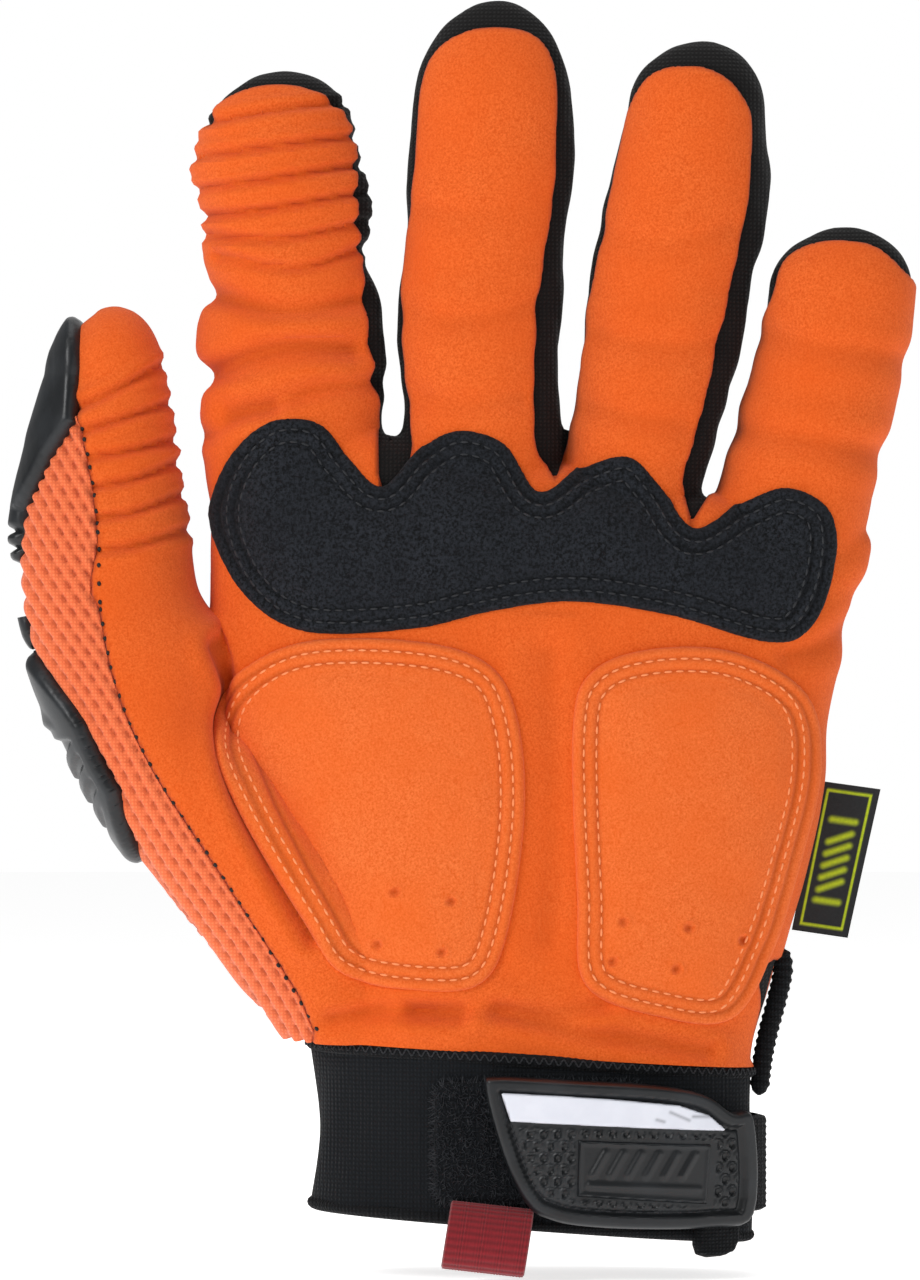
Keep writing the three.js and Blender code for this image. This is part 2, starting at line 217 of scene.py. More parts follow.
# %% Slices of the palm and digits
def hermite(keys, values, at):
    """A smooth curve through values at rising keys."""
    keys, values = np.array(keys, float), np.array(values, float)
    slopes = np.gradient(values, keys)
    i = np.clip(np.searchsorted(keys, at) - 1, 0, len(keys) - 2)
    step = keys[i + 1] - keys[i]
    t = (at - keys[i]) / step
    return ((2 * t**3 - 3 * t**2 + 1) * values[i] + (t**3 - 2 * t**2 + t) * step * slopes[i]
            + (3 * t**2 - 2 * t**3) * values[i + 1] + (t**3 - t**2) * step * slopes[i + 1])


# Rows are height, left edge, right edge, half depth, shift of the middle towards the palm.
PALM_SLICES = [
    (24, -42.6, 43.2, 20.6, 0), (34, -43.2, 43.4, 20.8, 0), (45, -46, 46.6, 20.6, 0),
    (57, -48, 50, 20.2, 0), (73, -53, 54.6, 19.6, 0), (86, -57.5, 57, 19, 0), (97, -60, 57.4, 18.4, 0),
    (110, -61.2, 60, 17.6, 0), (124, -61.2, 62.2, 16.6, 0), (134, -61, 64.6, 15.4, 0),
    (141, -60.6, 65.6, 13.2, 0), (145.5, -60, 65.4, 9.6, 0), (148, -57, 62, 4, 0),
]
PALM_TOP_LEAN = 11  # degrees: the knuckle line falls towards the little finger
DIGIT_SLICES = {
    "index": [
        (130, -59, -30, 10, 0), (148, -62.6, -28.6, 12.2, 0), (153, -62.9, -28.7, 12.6, 0),
        (159, -62.4, -28.7, 12.6, 0), (164.6, -61.3, -28.6, 12.6, 0), (169, -63.6, -28.6, 12.8, 0),
        (174, -64.2, -28.7, 12.8, 0), (180.4, -60.7, -29.6, 12.2, 0), (188, -62.7, -32.2, 12.4, 0.3),
        (196, -62.5, -30.6, 12.4, 0.8), (202, -64.4, -31.6, 12.4, 1.2), (206, -65.1, -33, 12.2, 1.4),
        (210, -63.4, -33.9, 12, 1.6),
    ],
    "middle": [
        (130, -24, 5.5, 10, 0), (148, -25.4, 6.8, 12.6, 0), (159, -24.2, 6.2, 13, 0),
        (167, -25.3, 5.9, 13, 0), (181, -25.3, 6.9, 12.8, 0), (192, -24, 7.2, 12.6, 0.4),
        (204, -24, 8.9, 12.6, 1), (210, -23.5, 9, 12.4, 1.3), (216, -22.8, 8.5, 12.2, 1.6),
    ],
    "ring": [
        (126, 6, 29, 10, 0), (142, 7.6, 33.4, 12, 0), (150, 8.2, 35.6, 12.4, 0), (158, 9.2, 37.8, 12.4, 0),
        (165, 9.8, 40, 12.4, 0), (171, 10.3, 41.4, 12.4, 0), (178, 11, 42.8, 12.4, 0),
        (184, 11.6, 43.6, 12.4, 0.2), (190, 12.9, 45.3, 12.4, 0.5), (197, 14.3, 46.6, 12.2, 0.9),
        (204, 15.9, 47.1, 12.2, 1.2), (211, 17.6, 46.3, 12, 1.5), (216, 19, 46, 11.8, 1.7),
    ],
    "little": [
        (120, 35, 60.6, 9.5, 0), (130, 34.6, 63.2, 10.8, 0), (136, 35.4, 65, 11.2, 0),
        (142, 37.4, 66.2, 11.5, 0), (150, 39.9, 67.8, 11.6, 0), (158, 42.1, 70.6, 11.4, 0),
        (165, 44.1, 71.8, 11.4, 0.2), (172, 45.8, 73.5, 11.2, 0.5), (178, 46.2, 74.4, 11.2, 0.9),
        (182, 46.6, 74.8, 11, 1.1),
    ],
    "thumb": [
        (32, -44, -14, 14, 1), (45, -54.6, -20, 15.6, 2), (58, -65, -28, 16.6, 3), (68, -72.4, -36, 17, 4),
        (80, -81, -46, 17, 4.6), (90, -86.6, -54.5, 16.6, 5), (98, -90.4, -59.8, 16, 5),
        (105, -93.4, -58.8, 15.4, 4.6), (111, -95.4, -58.6, 15, 4), (116, -96.8, -61.2, 14.6, 3.4),
        (122, -97.9, -65.2, 14.2, 2.8), (127, -98.2, -66.4, 14, 2.4), (135, -98.2, -67.2, 13.6, 2),
        (143, -96.9, -68.6, 13.2, 1.6), (152, -94.3, -69.8, 12.4, 1.2), (160, -91.9, -70.8, 11.6, 1),
        (165, -90.3, -72, 10.8, 1),
    ],
}
DIGIT_TIPS = {
    "index": (-47.4, 224), "middle": (-6.4, 237.6), "ring": (33.6, 229.8), "little": (61.8, 193.7),
    "thumb": (-80.7, 177.4),
}
SLICE_STEP = 1.5
DOME_SLICES = 14


def slice_stack(rows, tip=None):
    """Height, middle, half width, half depth and palmward shift of many slices, domed up to a tip."""
    rows = np.array(rows, float)
    heights = np.arange(rows[0, 0], rows[-1, 0] + 1e-6, SLICE_STEP)
    left, right, depth, shift = (hermite(rows[:, 0], rows[:, k], heights) for k in (1, 2, 3, 4))
    stack = np.stack([heights, (left + right) / 2, (right - left) / 2, depth, shift], 1)
    if tip is None:
        return stack
    z, x, width, depth, shift = stack[-1]
    turn = np.linspace(0, math.pi / 2, DOME_SLICES + 1)[1:, None]
    rise = np.sin(turn)
    dome = np.hstack([z + (tip[1] - z) * rise, x + (tip[0] - x) * rise**2, width * np.cos(turn),
                      depth * np.cos(turn), shift + 0.6 * rise])
    return np.vstack([stack, dome])


def stack_mesh(stack, around=72, square=2.0, lean=lambda z: 0):
    """Closed mesh of a slice stack; square above 2 flattens the front and back."""
    turn = np.arange(around) * 2 * math.pi / around
    soften = lambda v: np.sign(v) * np.abs(v) ** (2 / square)
    across, deep = soften(np.cos(turn)), soften(np.sin(turn))
    rings = []
    for z, x, width, depth, shift in stack:
        off = width * across
        rings.append(np.stack([x + off, depth * deep - shift, z - off * math.tan(math.radians(lean(z)))], 1))
    points = np.vstack(rings + [[rings[0].mean(0)], [rings[-1].mean(0)]])
    ring = np.arange(around)
    after = (ring + 1) % around
    faces = []
    for level in range(len(rings) - 1):
        low, high = level * around, (level + 1) * around
        faces.append(np.stack([low + ring, low + after, high + after, high + ring], 1))
    quads = np.vstack(faces)
    top = (len(rings) - 1) * around
    caps = [np.stack([np.full(around, len(points) - 2), after, ring], 1),
            np.stack([np.full(around, len(points) - 1), top + ring, top + after], 1)]
    return points, quads.tolist() + np.vstack(caps).tolist()


# %% Fuse the stacks
VOXEL = 0.9  # millimetres, fine enough for seams and embossed ribs
SMOOTH_PASSES = 7


def palm_lean(z):
    return PALM_TOP_LEAN * float(smoothstep(np.array(z), 116, 145))


def fused_hand():
    points, faces = [], []
    parts = [stack_mesh(slice_stack(PALM_SLICES), square=2.5, lean=palm_lean)]
    parts += [stack_mesh(slice_stack(rows, DIGIT_TIPS[name]), square=2.15)
              for name, rows in DIGIT_SLICES.items()]
    for part_points, part_faces in parts:
        base = sum(len(p) for p in points)
        points.append(part_points)
        faces += [[i + base for i in face] for face in part_faces]
    mesh = bpy.data.meshes.new("hand_form")
    mesh.from_pydata((np.vstack(points) * MM).tolist(), [], faces)
    form = in_scene("hand_form", mesh)
    remesh = form.modifiers.new("fuse", "REMESH")
    remesh.mode, remesh.voxel_size = "VOXEL", VOXEL * MM
    relax = form.modifiers.new("relax", "SMOOTH")
    relax.factor, relax.iterations = 0.5, SMOOTH_PASSES
    ready = form.evaluated_get(bpy.context.evaluated_depsgraph_get()).to_mesh()
    ready.calc_loop_triangles()
    skin_points = np.empty(len(ready.vertices) * 3)
    ready.vertices.foreach_get("co", skin_points)
    normals = np.empty(len(ready.vertices) * 3)
    ready.vertex_normals.foreach_get("vector", normals)
    triangles = np.empty(len(ready.loop_triangles) * 3, int)
    ready.loop_triangles.foreach_get("vertices", triangles)
    form.to_mesh_clear()
    bpy.data.objects.remove(form)
    bpy.data.meshes.remove(mesh)
    return Skin(skin_points.reshape(-1, 3) / MM, normals.reshape(-1, 3), triangles.reshape(-1, 3))


hand = fused_hand()
print("fused hand:", len(hand.points), "vertices")

# %% [markdown]
# ## Where the seams run
# Each panel is a place on the hand: the palm suede is one outline seen from the palm side, carried round to
# the side seam; the knit back lies behind a line on each side; the black side walls and wrapped fingertips
# are what is left between. The signed distance to a seam becomes a value on the skin, so a panel can be cut
# at zero and can also roll down towards its own edge.

# %% Outlines of the suede, seen from the palm side as (x, z)
SUEDE_OUTLINES = {
    "palm": [
        (-41, 20), (-41.5, 38), (-57.3, 64.2), (-72.5, 87.5), (-79.8, 103.7), (-83.1, 119), (-83.5, 128),
        (-70, 131), (-70, 141), (-28, 141), (4, 141.5), (28, 137), (31.8, 133.2), (35, 136), (76, 137),
        (76, 52), (47, 51), (44.5, 42), (42.6, 32), (42, 20),
    ],
    "thumb": [
        (-83.1, 119), (-83.6, 132), (-84.3, 140), (-85.4, 147), (-87, 155), (-88.8, 166), (-88.2, 172.5),
        (-84.6, 176.2), (-79, 180), (-60, 172), (-60, 112),
    ],
    "index": [
        (-76, 130), (-76, 212), (-62.4, 213.5), (-60.6, 217), (-53, 220.3), (-44.6, 220.4), (-38.4, 217.6),
        (-35, 213), (-33.8, 206), (-33.4, 193), (-32.6, 184), (-31.9, 171), (-29.8, 159), (-29.2, 145),
        (-29.2, 130),
    ],
    "middle": [
        (-26.6, 139), (-23.6, 146), (-22.6, 156), (-24, 168), (-24.4, 184), (-22.9, 198), (-21.8, 212),
        (-21.1, 220), (-18.4, 227), (-12.7, 231), (-4.8, 231.8), (1.3, 230), (4.6, 224.5), (5.2, 215),
        (4.6, 200.6), (3.1, 190.6), (1.4, 177), (0.8, 164.6), (1.2, 151), (4.2, 145.6), (4.6, 139),
    ],
    "ring": [
        (4.6, 139), (6.6, 148), (9.6, 162), (11.6, 178), (14.2, 190.6), (17.7, 208.5), (20, 217.5),
        (24.4, 223.2), (32.3, 224.3), (38.1, 222), (41.9, 217.5), (43.1, 213), (42.5, 199.4),
        (39.6, 184.8), (36.3, 170.2), (32.3, 154.4), (29.6, 144.2), (29.6, 133),
    ],
    "little": [
        (33.4, 130), (36.3, 144.2), (38.1, 153.3), (41.3, 163.5), (43.7, 170.2), (47.1, 179.2),
        (49.2, 186.4), (53.8, 189.8), (60.6, 190.7), (67.3, 189.3), (72.4, 185), (76.5, 181), (82, 170),
        (82, 130),
    ],
}
SIDE_SEAM = 1.5  # how far behind the middle plane the suede reaches
KNIT_SEAM = [(-41.5, 38), (-57.3, 64.2), (-72.5, 87.5), (-79.8, 103.7), (-83.1, 119), (-83.6, 132),
             (-84.3, 140), (-85.4, 147), (-86.9, 154)]

flat = hand.points[:, [0, 2]]
x, y, z = hand.points.T
suede = np.max([inside(flat, closed_curve(loop, 4)) for loop in SUEDE_OUTLINES.values()], axis=0)
hand.values["suede"] = np.minimum(suede, SIDE_SEAM - y)

# Height above each digit's root and middle hinge, measured along the digit.
DIGITS = ["index", "middle", "ring", "little", "thumb"]
DIGIT_LEAN = {"index": -1.5, "middle": 2.2, "ring": 8.3, "little": 13, "thumb": -5}


def digit_axis(name):
    lean = math.radians(DIGIT_LEAN[name])
    return np.array([math.sin(lean), 0, math.cos(lean)])


def nearest_digit(points):
    """Which digit each vertex belongs to, by the straight line through its two hinges."""
    distance = []
    for name in DIGITS:
        root = HINGES[f"{name}_root_flex"][[0, 2]]
        axis = digit_axis(name)[[0, 2]]
        foot = root - 30 * axis
        distance.append(segment_distance(points[:, [0, 2]], foot[None], (foot + 120 * axis)[None]))
    return np.argmin(distance, axis=0)


owner = nearest_digit(hand.points)
tip_height = np.array([DIGIT_TIPS[name][1] for name in DIGITS])[owner]
on_finger = smoothstep(z, 128, 150) * (owner < 4)
BACK_SEAM_PALM, BACK_SEAM_FINGER = 2.6, 6.2
TIP_WRAP = 15  # how far the black fingertip reaches down the back
back = y - (BACK_SEAM_PALM + (BACK_SEAM_FINGER - BACK_SEAM_PALM) * on_finger)
hand.values["back"] = np.where(owner < 4, np.minimum(back, tip_height - TIP_WRAP - z), back)

# The ribbed knit at the side of the thumb is palm-side fabric left of its dotted seam.
KNIT_TUCK = 2.5
knit_outline = np.array(open_curve(KNIT_SEAM, 4).tolist()
                        + [(-92, 160), (-130, 160), (-130, 20), (-41, 20)])
knit_outline[: len(knit_outline) - 4, 0] += KNIT_TUCK  # it goes under the suede, so no gap shows
hand.values["side_knit"] = np.minimum(inside(flat, knit_outline), BACK_SEAM_PALM - y)

# %% [markdown]
# ## Folds, ribs and bulges
# Suede over a hand is never smooth. It bunches below the index fingertip, creases where the fingers leave
# the palm, and the fingertip and thumb carry flex ribs pressed into thin foam. Each crease is a line with a
# depth and a width, and pushes the skin in along its normal; a soft swell on both sides of it gives the
# rolled look of cloth.

# %% Creases and ribs
# Each row is a line of (x, z) points, depth, half width.
INDEX_RIBS = [
    ([(-62.5, 213.2), (-50, 215.4), (-36.5, 217.2)], 1.0, 0.8),
    ([(-66, 206.6), (-50, 208.6), (-33.5, 211)], 1.15, 0.85),
    ([(-66.5, 200.6), (-50, 202.4), (-32.5, 205.4)], 1.2, 0.85),
    ([(-66, 195.6), (-52, 196.4), (-32, 200)], 1.2, 0.85),
    ([(-62, 191.8), (-54, 190.9), (-45, 191.2), (-31.5, 194.6)], 1.1, 0.85),
    ([(-60, 187.6), (-50, 185.6), (-42, 185.6), (-32.5, 189.6)], 1.0, 0.9),
]
THUMB_RIBS = [
    ([(-87, 158), (-79, 162), (-72, 166.6)], 1.1, 0.9),
    ([(-86, 153.6), (-78, 156.2), (-70, 159.4)], 1.2, 0.9),
    ([(-84.6, 148.4), (-77, 149.8), (-68.5, 152.4)], 1.2, 0.9),
    ([(-84, 142.6), (-76, 144.4), (-68, 148)], 1.2, 0.9),
    ([(-83.4, 136.6), (-76, 138), (-67.4, 141.6)], 1.2, 0.9),
    ([(-83.2, 130.4), (-76, 131.4), (-66.6, 134.8)], 1.1, 1.0),
]
FOLDS = [
    ([(-60.5, 180), (-50, 177), (-41, 177.2), (-34, 179)], 0.9, 1.8),
    ([(-62, 164.8), (-52, 168.6), (-44, 170), (-35, 169.4)], 1.2, 2.2),
    ([(-58, 157.6), (-48, 159.6), (-40, 162), (-31, 163.4)], 0.9, 1.8),
    ([(-62, 153), (-56, 156.2), (-50, 157.8)], 0.7, 1.5),
    ([(-20, 196), (-12, 195), (-3, 197), (2, 199)], 0.35, 2.4),
    ([(-22, 176), (-14, 174.6), (-4, 176), (1, 178)], 0.5, 2.6),
    ([(-20, 160), (-12, 158.6), (-2, 160)], 0.5, 2.2),
    ([(16, 192), (24, 190), (33, 190.6), (39, 192.4)], 0.35, 2.4),
    ([(14, 172), (22, 170), (31, 169.6), (36, 171)], 0.5, 2.6),
    ([(12, 158), (20, 156), (30, 155)], 0.5, 2.2),
    ([(48, 172), (56, 169.8), (65, 168.6), (71, 168)], 0.45, 2.2),
    ([(40, 154), (48, 152.6), (58, 151), (68, 149.4)], 0.6, 2.4),
    ([(-61, 112), (-58.5, 104), (-60, 96), (-57, 84), (-49, 68), (-42, 56)], 1.4, 1.7),
    ([(-22, 41.6), (-8, 42.6), (6, 41.4), (14, 43)], 0.8, 1.8),
    ([(3.4, 110), (3.8, 92), (4.4, 74), (3, 56)], 0.6, 3.2),
    ([(-38, 40), (-26, 41.8), (-14, 40.4)], 0.9, 1.8),
    ([(-6, 41), (8, 37.6), (20, 36), (34, 33.6)], 0.9, 1.7),
    ([(50, 110), (56, 112), (62, 116)], 0.6, 2.0),
]
FOLD_STRENGTH = 1.4
SWELL = 0.45  # how much of a crease's depth stands up again beside it


def crease(points, line, depth, half_width):
    reach = line_distance(points, open_curve(line, 5)) / half_width
    return -depth * np.exp(-reach**2) + SWELL * depth * np.exp(-((reach - 2.1) / 1.1) ** 2)


palmward = smoothstep(-y, -4, 3)
relief = np.zeros(len(y))
folds = [(line, depth * FOLD_STRENGTH, half_width) for line, depth, half_width in FOLDS]
for line, depth, half_width in INDEX_RIBS + THUMB_RIBS + folds:
    low, high = np.min(line, 0) - 8, np.max(line, 0) + 8
    near = np.nonzero(((flat > low) & (flat < high)).all(1) & (y < 4))[0]
    relief[near] += crease(flat[near], line, depth, half_width) * palmward[near]


def waves(points, length, seed):
    """Gentle unevenness of filled cloth: a few crossed sine waves with fixed random headings."""
    random = np.random.default_rng(seed)
    total = np.zeros(len(points))
    for _ in range(6):
        heading = random.normal(size=3)
        heading /= np.linalg.norm(heading)
        total += np.sin(points @ heading * 2 * math.pi / (length * random.uniform(0.7, 1.5))
                        + random.uniform(0, 6.28))
    return total / 6


relief += 0.35 * waves(hand.points, 34, 3) + 0.16 * waves(hand.points, 13, 5)
hand.values["relief"] = relief
print("relief from", relief.min().round(2), "to", relief.max().round(2), "mm")

# %% [markdown]
# ## Materials
# Blender materials are node trees. One helper adds a node, sets its values and joins its inputs, so each
# finish below reads as a short recipe. Colours are written as sRGB hex and turned to linear here, because
# shader nodes work in linear light. Pattern sizes are in millimetres on Object coordinates, which are
# metres: a feature of s mm needs a noise scale of 1000 / s.

# %% Colour and node helpers
def linear(hex_colour):
    """sRGB hex to linear RGBA."""
    channels = [int(hex_colour[i:i + 2], 16) / 255 for i in (1, 3, 5)]
    return [c / 12.92 if c <= 0.04045 else ((c + 0.055) / 1.055) ** 2.4 for c in channels] + [1]


def add(tree, kind, settings=None, **inputs):
    """Adds a node; settings are its properties, inputs its sockets: a value or another node's socket."""
    made = tree.nodes.new(kind)
    for name, value in (settings or {}).items():
        setattr(made, name, value)
    for name, value in inputs.items():
        socket = made.inputs[int(name[1:])] if name[0] == "_" else made.inputs[name.replace("_", " ")]
        if isinstance(value, bpy.types.NodeSocket):
            tree.links.new(value, socket)
        else:
            socket.default_value = value
    return made


def new_material(name, **surface):
    """A material with its Principled shader, ready for a recipe."""
    material = bpy.data.materials.new(name)
    material.use_nodes = True
    shader = material.node_tree.nodes["Principled BSDF"]
    for socket, value in surface.items():
        shader.inputs[socket.replace("_", " ")].default_value = value
    return material, material.node_tree, shader


def grain(tree, size_mm, detail=3.0, roughness=0.55, vector=None):
    """Noise with features of size_mm."""
    coords = vector or add(tree, "ShaderNodeTexCoord").outputs["Object"]
    return add(tree, "ShaderNodeTexNoise", Vector=coords, Scale=1000 / size_mm, Detail=detail,
               Roughness=roughness).outputs["Fac"]


def ramp(tree, value, low, high):
    """value stretched so that low becomes 0 and high becomes 1."""
    return add(tree, "ShaderNodeMapRange", Value=value, From_Min=low, From_Max=high).outputs["Result"]


def mixed_colour(tree, share, first, second):
    """A blend of two colours, each an RGBA list or a socket."""
    return add(tree, "ShaderNodeMix", {"data_type": "RGBA"}, _0=share, _6=first, _7=second).outputs[2]


def groove_of(tree):
    """Painted shade carried on a mesh's vertices, 0 on top and 1 deep in a seam or crease; the label uses it
    for lime yarn, the film for scuffs.
    """
    return add(tree, "ShaderNodeAttribute", {"attribute_name": "groove"}).outputs["Fac"]


def bumped(tree, shader, height, strength, distance_mm):
    bump = add(tree, "ShaderNodeBump", Height=height, Strength=strength, Distance=distance_mm * MM)
    tree.links.new(bump.outputs["Normal"], shader.inputs["Normal"])


# %% Fabric and rubber recipes
def suede(name, base, light, dark, fleck_mm=0.42, contrast=1.0, sheen=0.08):
    """Brushed microfibre suede: a matt nap whose fibres lie unevenly, so it mottles in two sizes, with a
    soft sheen at grazing angles. Creases and seams get painted shade: the colour is darker there."""
    material, tree, shader = new_material(name, Roughness=0.95, Sheen_Weight=sheen, Sheen_Roughness=0.6,
                                          Specular_IOR_Level=0.12)
    fine, wide = grain(tree, fleck_mm, 4.0, 0.7), grain(tree, 16, 2.0)
    nap = ramp(tree, fine, 0.5 - 0.17 / contrast, 0.5 + 0.17 / contrast)
    colour = mixed_colour(tree, nap, linear(dark), linear(light))
    colour = mixed_colour(tree, ramp(tree, wide, 0.25, 1.1), colour, linear(base))
    groove = groove_of(tree)
    # painted shade: darker where the groove value is high
    colour = mixed_colour(tree, groove, colour, [c * 0.55 for c in linear(dark)[:3]] + [1])
    tree.links.new(colour, shader.inputs["Base Color"])
    bumped(tree, shader, fine, 0.5, 0.35)
    return material


def knit(name, base, shadow, pitch_mm, stretch=(1, 1, 1), roughness=0.85, depth=0.5, sheen=0.15):
    """Knitted fabric: rows of loops, drawn as two crossed waves, with a little yarn fuzz. The shadow colour
    is painted shade in the low parts of the loops; the groove value darkens it further.
    """
    material, tree, shader = new_material(name, Roughness=roughness, Sheen_Weight=sheen,
                                          Specular_IOR_Level=0.2)
    coords = add(tree, "ShaderNodeTexCoord").outputs["Object"]
    mapped = add(tree, "ShaderNodeMapping", Vector=coords, Scale=stretch).outputs["Vector"]
    scale = 1000 / pitch_mm * 2 * math.pi / 20  # a wave node repeats every 2 pi / 20 / scale
    rows = add(tree, "ShaderNodeTexWave", {"bands_direction": "Z"}, Vector=mapped, Scale=scale,
               Distortion=1.2, Detail=1.0, Detail_Scale=2.0).outputs["Fac"]
    wales = add(tree, "ShaderNodeTexWave", {"bands_direction": "X"}, Vector=mapped, Scale=scale,
                Distortion=1.2, Detail=1.0, Detail_Scale=2.0).outputs["Fac"]
    loops = add(tree, "ShaderNodeMath", {"operation": "MULTIPLY"}, _0=rows, _1=wales).outputs[0]
    fuzz = grain(tree, 0.6)
    height = add(tree, "ShaderNodeMath", {"operation": "MULTIPLY_ADD"}, _0=fuzz, _1=0.4, _2=loops).outputs[0]
    colour = mixed_colour(tree, ramp(tree, height, 0.1, 0.8), linear(shadow), linear(base))
    groove = groove_of(tree)
    colour = mixed_colour(tree, groove, colour, [c * 0.6 for c in linear(shadow)[:3]] + [1])
    tree.links.new(colour, shader.inputs["Base Color"])
    bumped(tree, shader, height, depth, 0.4)
    return material


def moulded_rubber(name, base, worn):
    """Injection-moulded thermoplastic rubber: satin, with a fine spark-eroded grain, paler where rubbed."""
    material, tree, shader = new_material(name, Roughness=0.42, Specular_IOR_Level=0.45)
    skin_grain, rubbed = grain(tree, 0.5, 2.0), grain(tree, 9, 3.0)
    colour = mixed_colour(tree, ramp(tree, rubbed, 0.45, 0.8), linear(base), linear(worn))
    # painted shade: darker where the groove value is high, in the moulding's grooves, pits and recesses
    groove = groove_of(tree)
    colour = mixed_colour(tree, groove, colour, [c * 0.4 for c in linear(base)[:3]] + [1])
    tree.links.new(colour, shader.inputs["Base Color"])
    tree.links.new(ramp(tree, rubbed, -0.9, 2.6), shader.inputs["Roughness"])
    bumped(tree, shader, skin_grain, 0.12, 0.2)
    return material


def thread(name, colour, shadow):
    """Bonded polyester thread: slightly shiny, darker in its twist."""
    material, tree, shader = new_material(name, Roughness=0.6, Specular_IOR_Level=0.4)
    tree.links.new(mixed_colour(tree, grain(tree, 0.5), linear(shadow), linear(colour)),
                   shader.inputs["Base Color"])
    return material


MATERIALS = {
    "orange_suede": suede("orange_suede", "#E35911", "#EF7230", "#D14D0A"),
    "pad_suede": suede("pad_suede", "#E8621B", "#F47E40", "#D95813"),
    "black_suede": suede("black_suede", "#17191D", "#2B2E34", "#08090A", 0.6, 1.6, 0.03),
    "orange_knit": knit("orange_knit", "#F87E4E", "#E0683C", 0.7, depth=0.3),
    "black_knit": knit("black_knit", "#171515", "#080707", 0.8, sheen=0.04),
    "cuff_knit": knit("cuff_knit", "#12161B", "#07090C", 0.7, (1, 1, 0.8), sheen=0.04),
    "binding": knit("binding", "#121418", "#060708", 0.7, sheen=0.04),
    "rubber": moulded_rubber("rubber", "#101316", "#22262A"),
    "orange_thread": thread("orange_thread", "#F9A06C", "#EC8144"),
    "black_thread": thread("black_thread", "#2C2E33", "#101113"),
    "pile_yarn": thread("pile_yarn", "#3E4147", "#0C0D0E"),
    "seam_thread": thread("seam_thread", "#17120F", "#070606"),
}
print("materials:", ", ".join(MATERIALS))

# %% [markdown]
# ## From skin to cloth
# A panel is cut from the hand's skin, lifted by its relief, rolled down at its own edge, and closed with an
# inner face and a rim, so that it's a real sheet with a thickness.

# %% Closing a sheet and making an object
def closed_sheet(skin, lift, under):
    """A closed body: the skin lifted by lift, its underside at under, and a rim between them."""
    count = len(skin.points)
    outer = skin.points + skin.normals * lift[:, None]
    inner = skin.points + skin.normals * (np.full(count, under) if np.isscalar(under) else under)[:, None]
    sides = np.vstack([skin.faces[:, [0, 1]], skin.faces[:, [1, 2]], skin.faces[:, [2, 0]]])
    key = sides[:, 0] * count + sides[:, 1]
    rim = sides[~np.isin(key, sides[:, 1] * count + sides[:, 0])]
    faces = [skin.faces, skin.faces[:, ::-1] + count]
    a, b = rim[:, 0], rim[:, 1]
    faces += [np.stack([b, a, a + count], 1), np.stack([b, a + count, b + count], 1)]
    return np.vstack([outer, inner]), np.vstack(faces)


def add_mesh(name, points, faces, material, groove=None, sharp=48):
    """A smooth-shaded object at the origin from millimetre points."""
    mesh = bpy.data.meshes.new(name)
    mesh.vertices.add(len(points))
    mesh.vertices.foreach_set("co", (points * MM).ravel())
    mesh.loops.add(len(faces) * 3)
    mesh.loops.foreach_set("vertex_index", faces.ravel())
    mesh.polygons.add(len(faces))
    mesh.polygons.foreach_set("loop_start", np.arange(0, len(faces) * 3, 3))
    mesh.update(calc_edges=True)
    mesh.polygons.foreach_set("use_smooth", np.ones(len(faces), bool))
    mesh.set_sharp_from_angle(angle=math.radians(sharp))
    if groove is not None:
        layer = mesh.attributes.new("groove", "FLOAT", "POINT")
        layer.data.foreach_set("value", np.clip(groove, 0, 1).astype(np.float32))
    taken = name in bpy.data.objects  # a CAD node may have this name already
    made = in_scene(name + "_made" if taken else name, mesh)
    mesh.materials.append(MATERIALS[material])
    return made


def sew(name, skin, lift, under, material, groove=None):
    points, faces = closed_sheet(skin, lift, under)
    if groove is not None:
        groove = np.concatenate([groove, groove])
    made = add_mesh(name, points, faces, material, groove)
    return made


def rolled(distance, radius):
    """0 at a panel's edge, rising to 1 as a quarter round."""
    return np.sqrt(1 - (1 - np.clip(distance / radius, 0, 1)) ** 2)


# %% Which body each stretch belongs to
ROOT_BLEND = {"index": (-9, 9), "middle": (-9, 9), "ring": (-9, 9), "little": (-8, 8.5), "thumb": (-1.5, 10)}
HALF_WIDTH = {"index": 17, "middle": 16, "ring": 15.8, "little": 14.4, "thumb": 13.4}  # of each digit
CUT_MARGIN = 0.8
CUFF_TOP = ((-60, 37.2), (60, 29.4))
CUFF_RIM = ((-60, 3.6), (60, -5.2))


def line_height(line, across):
    (x0, z0), (x1, z1) = line
    return z0 + (across - x0) * (z1 - z0) / (x1 - x0)


def digit_fields(points):
    """For each digit: the field of its moving part, and height above the middle of its base segment."""
    axes_distance, heights, ends = [], [], []
    for name in DIGITS:
        root, middle, axis = HINGES[f"{name}_root_flex"], HINGES[f"{name}_middle_flex"], digit_axis(name)
        foot = root[[0, 2]] - 30 * axis[[0, 2]]
        line = segment_distance(points[:, [0, 2]], foot[None], (foot + 140 * axis[[0, 2]])[None])
        axes_distance.append(line - HALF_WIDTH[name])
        heights.append((points - root) @ axis - ROOT_BLEND[name][0] + CUT_MARGIN)
        ends.append((points - (root + middle) / 2) @ axis)
    axes_distance = np.array(axes_distance)
    fields = []
    for k in range(len(DIGITS)):
        others = np.delete(axes_distance, k, 0).min(0)
        fields.append(np.minimum(heights[k], others - axes_distance[k]))
    return fields, ends


fields, ends = digit_fields(hand.points)
for name, field, end in zip(DIGITS, fields, ends):
    hand.values[f"{name}_part"], hand.values[f"{name}_end"] = field, end
hand.values["hand_part"] = np.minimum(-np.max(fields, axis=0),
                                      hand.points[:, 2] - line_height(CUFF_TOP, hand.points[:, 0]) + 0.4)


def stretches(skin):
    """The skin in its body parts: the hand's own, then each digit's root and end stretch."""
    yield "hand", None, skin.cut(skin.values["hand_part"])
    for name in DIGITS:
        part = skin.cut(skin.values[f"{name}_part"])
        yield name, "root", part.cut(-part.values[f"{name}_end"])
        yield name, "end", part.cut(part.values[f"{name}_end"])


